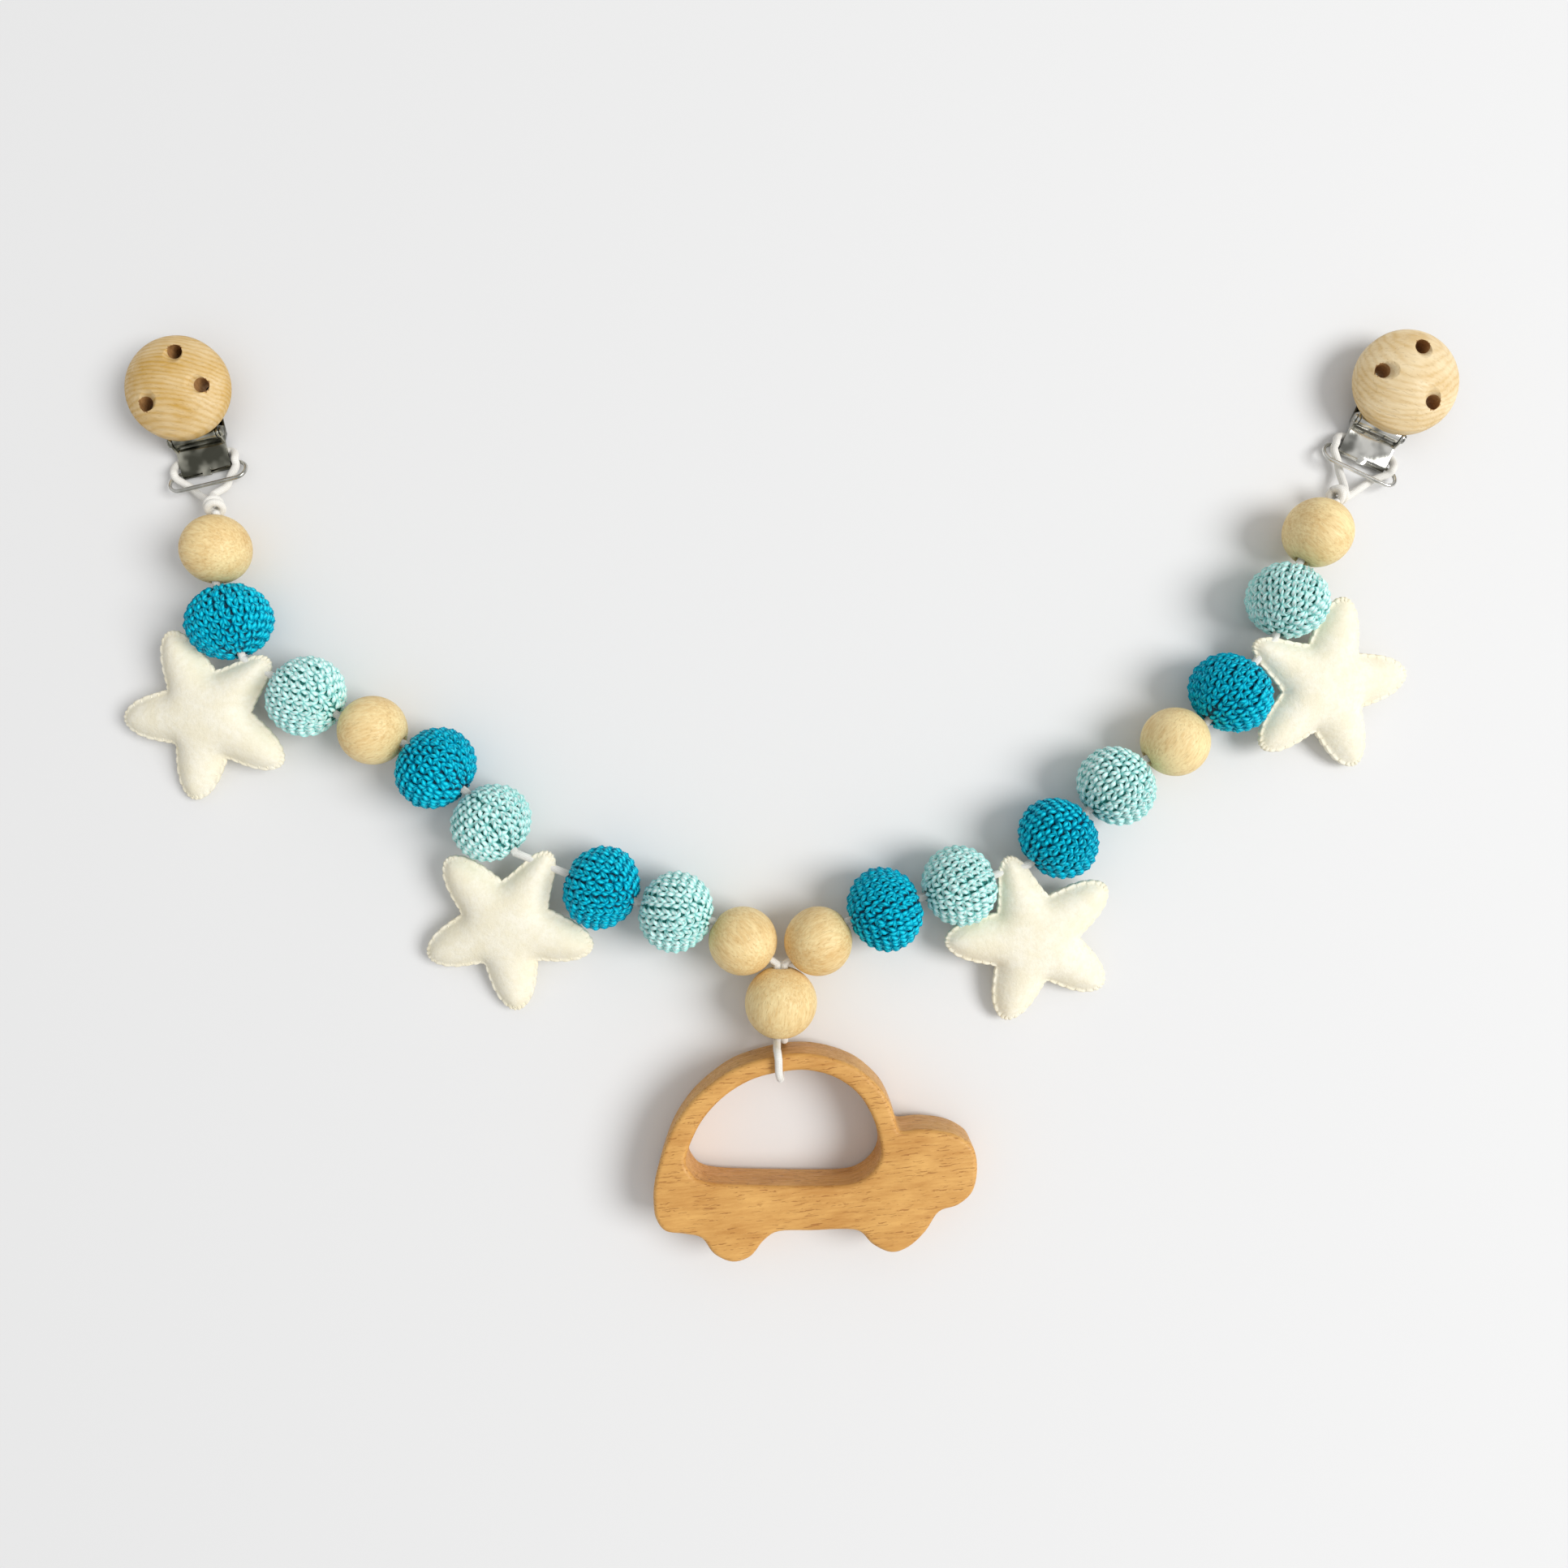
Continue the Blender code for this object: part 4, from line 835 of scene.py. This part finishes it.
car_place, car_up = hinge("car_sway")
along = Vector((math.cos(math.radians(CAR_TURN)), math.sin(math.radians(CAR_TURN)), 0))
along = (along - car_up * along.dot(car_up)).normalized()
car_frame = squared(car_place, along, car_up)
silhouette = car_curve(CAR_OUTLINE_SHARES)
window = car_curve(CAR_WINDOW_SHARES)
shape = board([silhouette, list(reversed(window))], CAR_THICKNESS, CAR_EDGE_RADIUS, CAR_EDGE_STEPS)
moved(shape, car_frame)
mark_grain(shape, car_frame.to_3x3() @ CAR_FIBRES, car_place - car_up * CAR_PITH_DEPTH + CAR_PITH, CAR_TONE)
car_wood = wood(
    "car_wood", (0.80, 0.45, 0.135), (0.52, 0.23, 0.05), (0.32, 0.105, 0.02),
    3.4, 0.12, 0.34, 0.075, 0.62, 0.48
)
piece("car_wood", shape, "car", [car_wood], sharp=30.0)


# Cord. One length of white round elastic with a braided cover goes through every ball, doubled through the
# middle one, where its loop holds the car. A straight stretch belongs to each ball and the star beside it.
CORD_DIAMETER = 0.0021
CORD_SIDES = 14
CORD_GAP = 0.0003
CORD_END_ANGLES = (15, 35, 60, 90)
CORD_RELIEF = 0.00006
PENDANT_CORNER = 0.0023
PENDANT_CORNER_STEPS = 8
LOOP_CLEARANCE = 0.0004
LOOP_MOUTH_DROP = 0.0009
LOOP_MOUTH_RISE = 0.0003
STRAND_SPACING = 0.0020
cord_radius = CORD_DIAMETER / 2


def braid():
    """Braided white elastic: fine ribs both ways round, soft and matt."""
    paint = Paint("cord")
    angle, length = strand_lay(paint)
    ribs = (angle * 7.0 + length * 11.0).sine() * (angle * 7.0 - length * 11.0).sine() * 0.5 + 0.5
    fluff = paint.noise(paint.node("TexCoord", output="Object"), 1800.0, 3.0)
    # Painted shade: the grooves between the ribs take the darker colour; the fluff varies it at random
    shade = ribs * 0.6 + fluff * 0.5
    colour = paint.mix(shade.between(0.1, 0.9), (0.72, 0.69, 0.62), (0.92, 0.91, 0.87))
    relief = paint.bump(ribs + fluff * 0.4, CORD_RELIEF)
    return paint.surface(Base_Color=colour, Roughness=0.75, Sheen_Weight=0.2, Normal=relief)


cord_finish = braid()


def cord(shape, path):
    """A stretch of cord along a path, its ends rounded within the path's length."""
    first = (path[1] - path[0]).normalized()
    last = (path[-1] - path[-2]).normalized()
    ends = [(1 - math.cos(math.radians(a)), math.sin(math.radians(a))) for a in CORD_END_ANGLES]
    places = [path[0] + first * cord_radius * setback for setback, share in ends]
    places += path[1:-1]
    places += [path[-1] - last * cord_radius * setback for setback, share in reversed(ends)]
    shares = [share for setback, share in ends]
    shares += [1] * (len(path) - 2) + shares[::-1]
    sweep(shape, places, cord_radius, CORD_SIDES, shares)


def cord_piece(name, shape, node):
    faced_out(shape)
    return piece(name, shape, node, [cord_finish], sharp=80.0)


def highest(outline):
    """The highest place where an outline in the car's plane crosses the line down from the cord."""
    heights = []
    for a, b in zip(outline[-1:] + outline, outline):
        if a.x * b.x < 0:
            heights.append(a.y - (b.y - a.y) * a.x / (b.x - a.x))
    return max(heights)


for side in ("left", "right"):
    for number in range(1, 10):
        node = f"{side}_cord_{number}"
        start = hinge(f"{side}_bend_{number}")[0]
        end = hinge(f"{side}_bend_{number + 1}" if number < 9 else side + "_knot_bend")[0]
        ahead = (end - start).normalized()
        shape = bmesh.new()
        cord(shape, [start - ahead * cord_radius, start, (start + end) / 2, end, end + ahead * cord_radius])
        cord_piece(node + "_elastic", shape, node)

mouth = hinge("pendant_turn")[0]
shape = bmesh.new()
for side, way in (("left", -1), ("right", 1)):
    low = Vector((way * STRAND_SPACING / 2, mouth.y + CORD_DIAMETER + CORD_GAP, mouth.z))
    high = hinge(side + "_bend_1")[0] + Vector((0, cord_radius / 2, 0))
    cord(shape, [low, low + (high - low) / 3, low + (high - low) * 2 / 3, high])
cord_piece("centre_cord_elastic", shape, "centre_cord")

# The loop's corners lie outside the roof's edges, on both faces of the car
turn_in = LOOP_CLEARANCE + cord_radius - PENDANT_CORNER
roof = highest(silhouette) + turn_in
lintel = highest(window) - turn_in
face = CAR_THICKNESS + turn_in
around = []
for quarter, corner in enumerate(((roof, face), (lintel, face), (lintel, -turn_in), (roof, -turn_in))):
    around += arc(corner, PENDANT_CORNER, 90 * quarter, 90 * (quarter + 1), PENDANT_CORNER_STEPS)
tilt = math.acos(car_up.z / math.hypot(car_up.y, car_up.z))
loop_frame = Matrix.Translation(car_place) @ Matrix.Rotation(tilt, 4, "X")
to_local = loop_frame.inverted()
beside = STRAND_SPACING / 2
route = []
for index, place in enumerate(around):
    route.append(Vector((beside * (2 * index / (len(around) - 1) - 1), *place)))
ends = []
for way in (-1, 1):
    within = Vector((way * beside, CORD_DIAMETER, 0))
    below = Vector((way * beside, -LOOP_MOUTH_DROP, -way * LOOP_MOUTH_RISE))
    ends += [to_local @ (mouth + within), to_local @ (mouth + below)]
shape = bmesh.new()
cord(shape, [ends[0], *smooth([ends[1], *route, ends[3]], 2), ends[2]])
moved(shape, loop_frame)
cord_piece("pendant_loop_elastic", shape, "pendant_loop")


# Clips. Each has a domed wooden disc with three holes, a nickel plated lever plate rolled round the hinge
# pin, a base plate with two ears whose tail is curled round the wire bail, and a toothed plastic insert.
SHEET = 0.0007
CLIP_WIDTH = 0.0140
PIN_SETBACK = 0.01275
PIN_HEIGHT = 0.0052
PIN_DIAMETER = 0.0015
PIN_HEAD_DIAMETER = 0.0027
PIN_HEAD_THICKNESS = 0.0005
EAR_FOOT_LENGTH = 0.0060
CURL_SETBACK = 0.0209
WIRE_DIAMETER = 0.0011
BAIL_LENGTH = 0.0230
BAIL_PITCH = 0.0060
BAIL_SLOPE = 30.0
DISC_DIAMETER = 0.0286
DISC_RIM_HEIGHT = 0.0034
DISC_HEIGHT = 0.0098
DISC_EDGE_RADIUS = 0.0012
DISC_SEGMENTS = 96
DISC_HOLE_SEGMENTS = 40
DISC_HOLE_DIAMETER = 0.0040
DISC_HOLE_MOUTH = 0.0046
DISC_HOLE_CIRCLE_RADIUS = 0.0086
DISC_HOLE_ANGLES = {"left": (-4.0, 81.0, 222.0), "right": (169.0, 74.0, 307.0)}
METAL_EDGE = 0.00012
NICKEL_RELIEF = 0.00002
curl_radius = WIRE_DIAMETER / 2 + CORD_GAP


def clip_frame(side):
    """The clip's own frame on the table: its origin under the disc's middle, +Y from the bail to the disc."""
    pin, across = hinge(side + "_lever_lift")
    return squared(pin, across, UPWARD) @ Matrix.Translation((0, PIN_SETBACK, -PIN_HEIGHT))


def nickel(name, bright, dull):
    """Nickel plate, with rubbed patches and draw lines."""
    paint = Paint(name)
    place = paint.node("TexCoord", output="Object")
    rub = paint.noise(place, 150.0, 2.0)
    lines = paint.noise(place, 900.0, 2.0, stretch=(1, 0.12, 1))
    colour = paint.mix(rub.between(0.36, 0.64), bright, dull)
    relief = paint.bump(lines, NICKEL_RELIEF)
    return paint.surface(Base_Color=colour, Metallic=1.0, Roughness=0.08 + rub * 0.16, Normal=relief)


# Both clips carry the same nickel; the left clip's copy is painted darker, as painted shade
nickel_finishes = {
    "left": nickel("nickel_left_shaded", (0.52, 0.51, 0.43), (0.09, 0.09, 0.07)),
    "right": nickel("nickel_right", (0.86, 0.85, 0.80), (0.20, 0.20, 0.18)),
}
wire_finish = nickel("nickel_wire", (0.88, 0.87, 0.83), (0.42, 0.42, 0.38))


def plastic():
    """Clear pale moulded plastic."""
    paint = Paint("insert_plastic")
    cloud = paint.noise(paint.node("TexCoord", output="Object"), 500.0)
    return paint.surface(Base_Color=paint.mix(cloud, (0.85, 0.85, 0.82), (0.74, 0.74, 0.70)), Roughness=0.45)


plastic_finish = plastic()


def softened(node, edge, sharper_than):
    """A copy of a CAD node, its edges that are sharper than an angle rounded over."""
    shape = bmesh.new()
    shape.from_mesh(frame["nodes"][node].data)
    bmesh.ops.remove_doubles(shape, verts=shape.verts, dist=edge / 20)
    bmesh.ops.dissolve_limit(shape, angle_limit=math.radians(2), verts=shape.verts, edges=shape.edges)
    sharp = [e for e in shape.edges if e.is_manifold and e.calc_face_angle() > math.radians(sharper_than)]
    bmesh.ops.bevel(
        shape, geom=sharp, offset=edge, segments=2, profile=0.5,
        affect="EDGES", material=-1, clamp_overlap=True
    )
    return shape


def disc_shape(hole_angles):
    """A disc with a flat back and a domed face, and three countersunk holes."""
    radius = DISC_DIAMETER / 2
    rise = DISC_HEIGHT - DISC_RIM_HEIGHT
    dome = (radius**2 + rise**2) / (2 * rise)
    edge = math.degrees(math.asin(radius / dome))
    profile = arc((0, DISC_HEIGHT - dome), dome, 90, 90 - edge, 40)
    profile[0] = (0, DISC_HEIGHT)
    corner = (radius - DISC_EDGE_RADIUS, DISC_EDGE_RADIUS)
    profile[-1] = (radius - DISC_EDGE_RADIUS / 5, DISC_RIM_HEIGHT + DISC_EDGE_RADIUS / 8)
    profile.append((radius, DISC_RIM_HEIGHT - DISC_EDGE_RADIUS / 3))
    profile += arc(corner, DISC_EDGE_RADIUS, 0, -90, 6)
    profile.append((0, 0))
    item = placed("disc_blank", baked(turned(profile, DISC_SEGMENTS), "disc_blank"))
    drill = DISC_HOLE_DIAMETER / 2
    opening = DISC_HOLE_MOUTH / 2
    face = DISC_HEIGHT - rise * (DISC_HOLE_CIRCLE_RADIUS / radius) ** 2
    shaft = [(0, 2 * DISC_HEIGHT), (2 * opening, face + 2 * opening - drill)]
    shaft += [(drill, face - (opening - drill)), (drill, -SHEET), (0, -SHEET)]
    holes = [arc((0, 0), DISC_HOLE_CIRCLE_RADIUS, angle, angle, 1)[0] for angle in hole_angles]
    cutters = []
    for place in holes:
        drilled = turned(shaft, DISC_HOLE_SEGMENTS)
        moved(drilled, Matrix.Translation((*place, 0)))
        cutters.append(placed("disc_drill", baked(drilled, "disc_drill")))
        cut = item.modifiers.new("hole", "BOOLEAN")
        cut.operation = "DIFFERENCE"
        cut.solver = "EXACT"
        cut.object = cutters[-1]
    shape = bmesh.new()
    bpy.context.view_layer.update()
    shape.from_object(item, bpy.context.evaluated_depsgraph_get())
    for made in (item, *cutters):
        bpy.data.objects.remove(made)
    # The faces in and round the holes take the second finish, the painted shade inside the holes
    for face in shape.faces:
        middle = face.calc_center_median().xy
        if any((middle - Vector(place)).length < drill + METAL_EDGE for place in holes):
            face.material_index = 1
    return shape


disc_wood = wood(
    "disc_wood", (0.88, 0.71, 0.44), (0.58, 0.34, 0.07), (0.42, 0.23, 0.07), 1.25, 0.24, 0.14, 0.15, 0.10, 0.5
)
# The disc's wood painted darker for the walls of the holes: painted shade inside them
hole_shade_wood = wood(
    "hole_shade_wood", (0.44, 0.24, 0.09), (0.28, 0.13, 0.04), (0.12, 0.05, 0.02),
    1.25, 0.24, 0.3, 0.15, 0.10, 0.7
)
# The fibres' direction, where the pith lay from the disc's middle, and how deep its tone is
DISC_GRAINS = {
    "left": (Vector((1, -0.08, 0.10)), Vector((0.01, 0.10, -0.03)), 0.58),
    "right": (Vector((1, -0.35, 0.12)), Vector((0.0, -0.035, -0.05)), 0.20),
}
for side in ("left", "right"):
    clip = clip_frame(side)
    for node, sharper_than in (("clip_base", 35.0), ("clip_lever", 40.0)):
        shape = softened(f"{side}_{node}", METAL_EDGE, sharper_than)
        piece(f"{side}_{node}_plate", shape, f"{side}_{node}", [nickel_finishes[side]], sharp=35.0)
    insert = frame["nodes"][side + "_clip_insert"]
    insert.data.materials.clear()
    insert.data.materials.append(plastic_finish)

    neck = CLIP_WIDTH / 2 + CORD_GAP
    end = neck + PIN_HEAD_THICKNESS
    head = PIN_HEAD_DIAMETER / 2
    profile = [(0, end), (head / 2, end), (head * 0.9, end - PIN_HEAD_THICKNESS / 4)]
    profile += [(head, neck), (PIN_DIAMETER / 2, neck)]
    profile += [(radius, -height) for radius, height in reversed(profile)]
    shape = turned(profile, 28)
    across = Matrix.Translation((0, -PIN_SETBACK, PIN_HEIGHT)) @ Matrix.Rotation(math.pi / 2, 4, "Y")
    moved(shape, clip @ across)
    piece(side + "_clip_pin_steel", shape, side + "_clip_pin", [nickel_finishes[side]])

    bend = BAIL_PITCH / 2
    reach = BAIL_LENGTH / 2 - WIRE_DIAMETER / 2 - bend
    ring = [Vector((*place, 0)) for place in arc((reach, -bend), bend, -90, 90, 18)]
    ring += [Vector((-place.x, -2 * bend - place.y, 0)) for place in ring]
    shape = bmesh.new()
    sweep(shape, ring, WIRE_DIAMETER / 2, 14, closed=True)
    faced_out(shape)
    curl = Matrix.Translation((0, -CURL_SETBACK, SHEET + curl_radius))
    hang = Matrix.Rotation(math.radians(-BAIL_SLOPE), 4, "X")
    moved(shape, clip @ curl @ hang)
    piece(side + "_clip_bail_wire", shape, side + "_clip_bail", [wire_finish])

    shape = disc_shape(DISC_HOLE_ANGLES[side])
    back = PIN_HEIGHT + PIN_DIAMETER / 2 + SHEET + 2 * CORD_GAP
    centre = clip @ Vector((0, 0, back))
    moved(shape, Matrix.Translation(centre))
    fibre, pith, tone = DISC_GRAINS[side]
    mark_grain(shape, fibre, centre + pith, tone)
    piece(side + "_clip_disc_maple", shape, side + "_clip_disc", [disc_wood, hole_shade_wood], 50.0)


# Knots and end loops. At each end the cord is tied in a tight overhand knot against the last ball, and its
# loop goes round the tail of the clip, over the bail's near side and under its far side.
KNOT_WRAP_RADIUS = 0.0019
KNOT_WRAP_SPREAD = 0.0019
KNOT_WRAP_LEAN = 12.0
KNOT_SHIFT = 0.00035
KNOT_TO_LOOP = 0.0040
KNOT_TO_LOOP_DROP = 0.0026
LOOP_SIDE_BULGE = 0.0004
LOOP_SPREAD_SHARES = (0.50, 0.68)
LOOP_CURVE_STEPS = 6


def loop_route(start):
    """The end loop's route in the clip's frame, from one leg of the knot round to the other."""
    half = CLIP_WIDTH / 2 + CORD_GAP + cord_radius
    bulge = half + LOOP_SIDE_BULGE
    curl_height = SHEET + curl_radius
    over = curl_height + WIRE_DIAMETER / 2 + CORD_GAP + cord_radius
    bar = -CURL_SETBACK - BAIL_PITCH * math.cos(math.radians(BAIL_SLOPE))
    bar_height = curl_height + BAIL_PITCH * math.sin(math.radians(BAIL_SLOPE))
    beneath = bar_height - WIRE_DIAMETER / 2 - CORD_GAP - cord_radius
    past = -CURL_SETBACK - curl_radius - SHEET
    inside = -PIN_SETBACK - EAR_FOOT_LENGTH / 2 - cord_radius - CORD_GAP
    low = cord_radius + CORD_GAP / 3
    descent = (over + low) / 2
    ends = []
    for side in (1, -1):
        beside = -side * (cord_radius + CORD_GAP / 2)
        ends.append([
            start @ Vector((CORD_GAP, beside, 0)),
            start @ Vector((CORD_DIAMETER, beside, 0)),
            Vector((side * half * LOOP_SPREAD_SHARES[0], bar - WIRE_DIAMETER, beneath - CORD_GAP)),
            Vector((side * half * LOOP_SPREAD_SHARES[1], bar + cord_radius, beneath - CORD_GAP)),
            Vector((side * half, past, (beneath + over) / 2)),
            Vector((side * bulge, -CURL_SETBACK, over + CORD_GAP)),
            Vector((side * bulge, inside - CORD_DIAMETER, descent + CORD_GAP)),
            Vector((side * (half - cord_radius / 2), inside - cord_radius / 2, low)),
            Vector((side * (half - CORD_DIAMETER - cord_radius / 2), inside, low)),
            Vector((side * (half - 2 * CORD_DIAMETER - cord_radius), inside, low)),
        ])
    return [*ends[0], Vector((0, inside, low)), *reversed(ends[1])]


for side in ("left", "right"):
    clip = clip_frame(side)
    joint, sideways = hinge(side + "_clip_swing")
    slope = math.asin(KNOT_TO_LOOP_DROP / KNOT_TO_LOOP)
    forward = sideways.cross(UPWARD) * math.cos(slope) - UPWARD * math.sin(slope)
    tie = Matrix((forward, sideways, forward.cross(sideways))).transposed().to_4x4()
    tie.translation = joint
    shape = bmesh.new()
    cord(shape, smooth(loop_route(clip.inverted() @ tie), LOOP_CURVE_STEPS))
    moved(shape, clip)
    cord_piece(side + "_loop_elastic", shape, side + "_loop")

    shape = bmesh.new()
    for turn_side in (1, -1):
        wrap = bmesh.new()
        ring = [Vector((0, *place)) for place in arc((0, 0), KNOT_WRAP_RADIUS, 0, 345, 23)]
        sweep(wrap, ring, cord_radius, CORD_SIDES, closed=True)
        lean = Matrix.Rotation(math.radians(turn_side * KNOT_WRAP_LEAN), 4, "Z")
        shift = Matrix.Translation((turn_side * KNOT_WRAP_SPREAD / 2 + KNOT_SHIFT, 0, 0))
        moved(wrap, shift @ lean)
        beside = turn_side * (cord_radius + CORD_GAP / 2)
        reach = KNOT_TO_LOOP - CORD_GAP
        cord(wrap, [Vector((ahead, beside, 0)) for ahead in (0, reach / 2, reach)])
        shape.from_mesh(baked(wrap, "wrap"))
    moved(shape, tie @ Matrix.Translation((-KNOT_TO_LOOP, 0, 0)))
    cord_piece(side + "_knot_elastic", shape, side + "_knot")
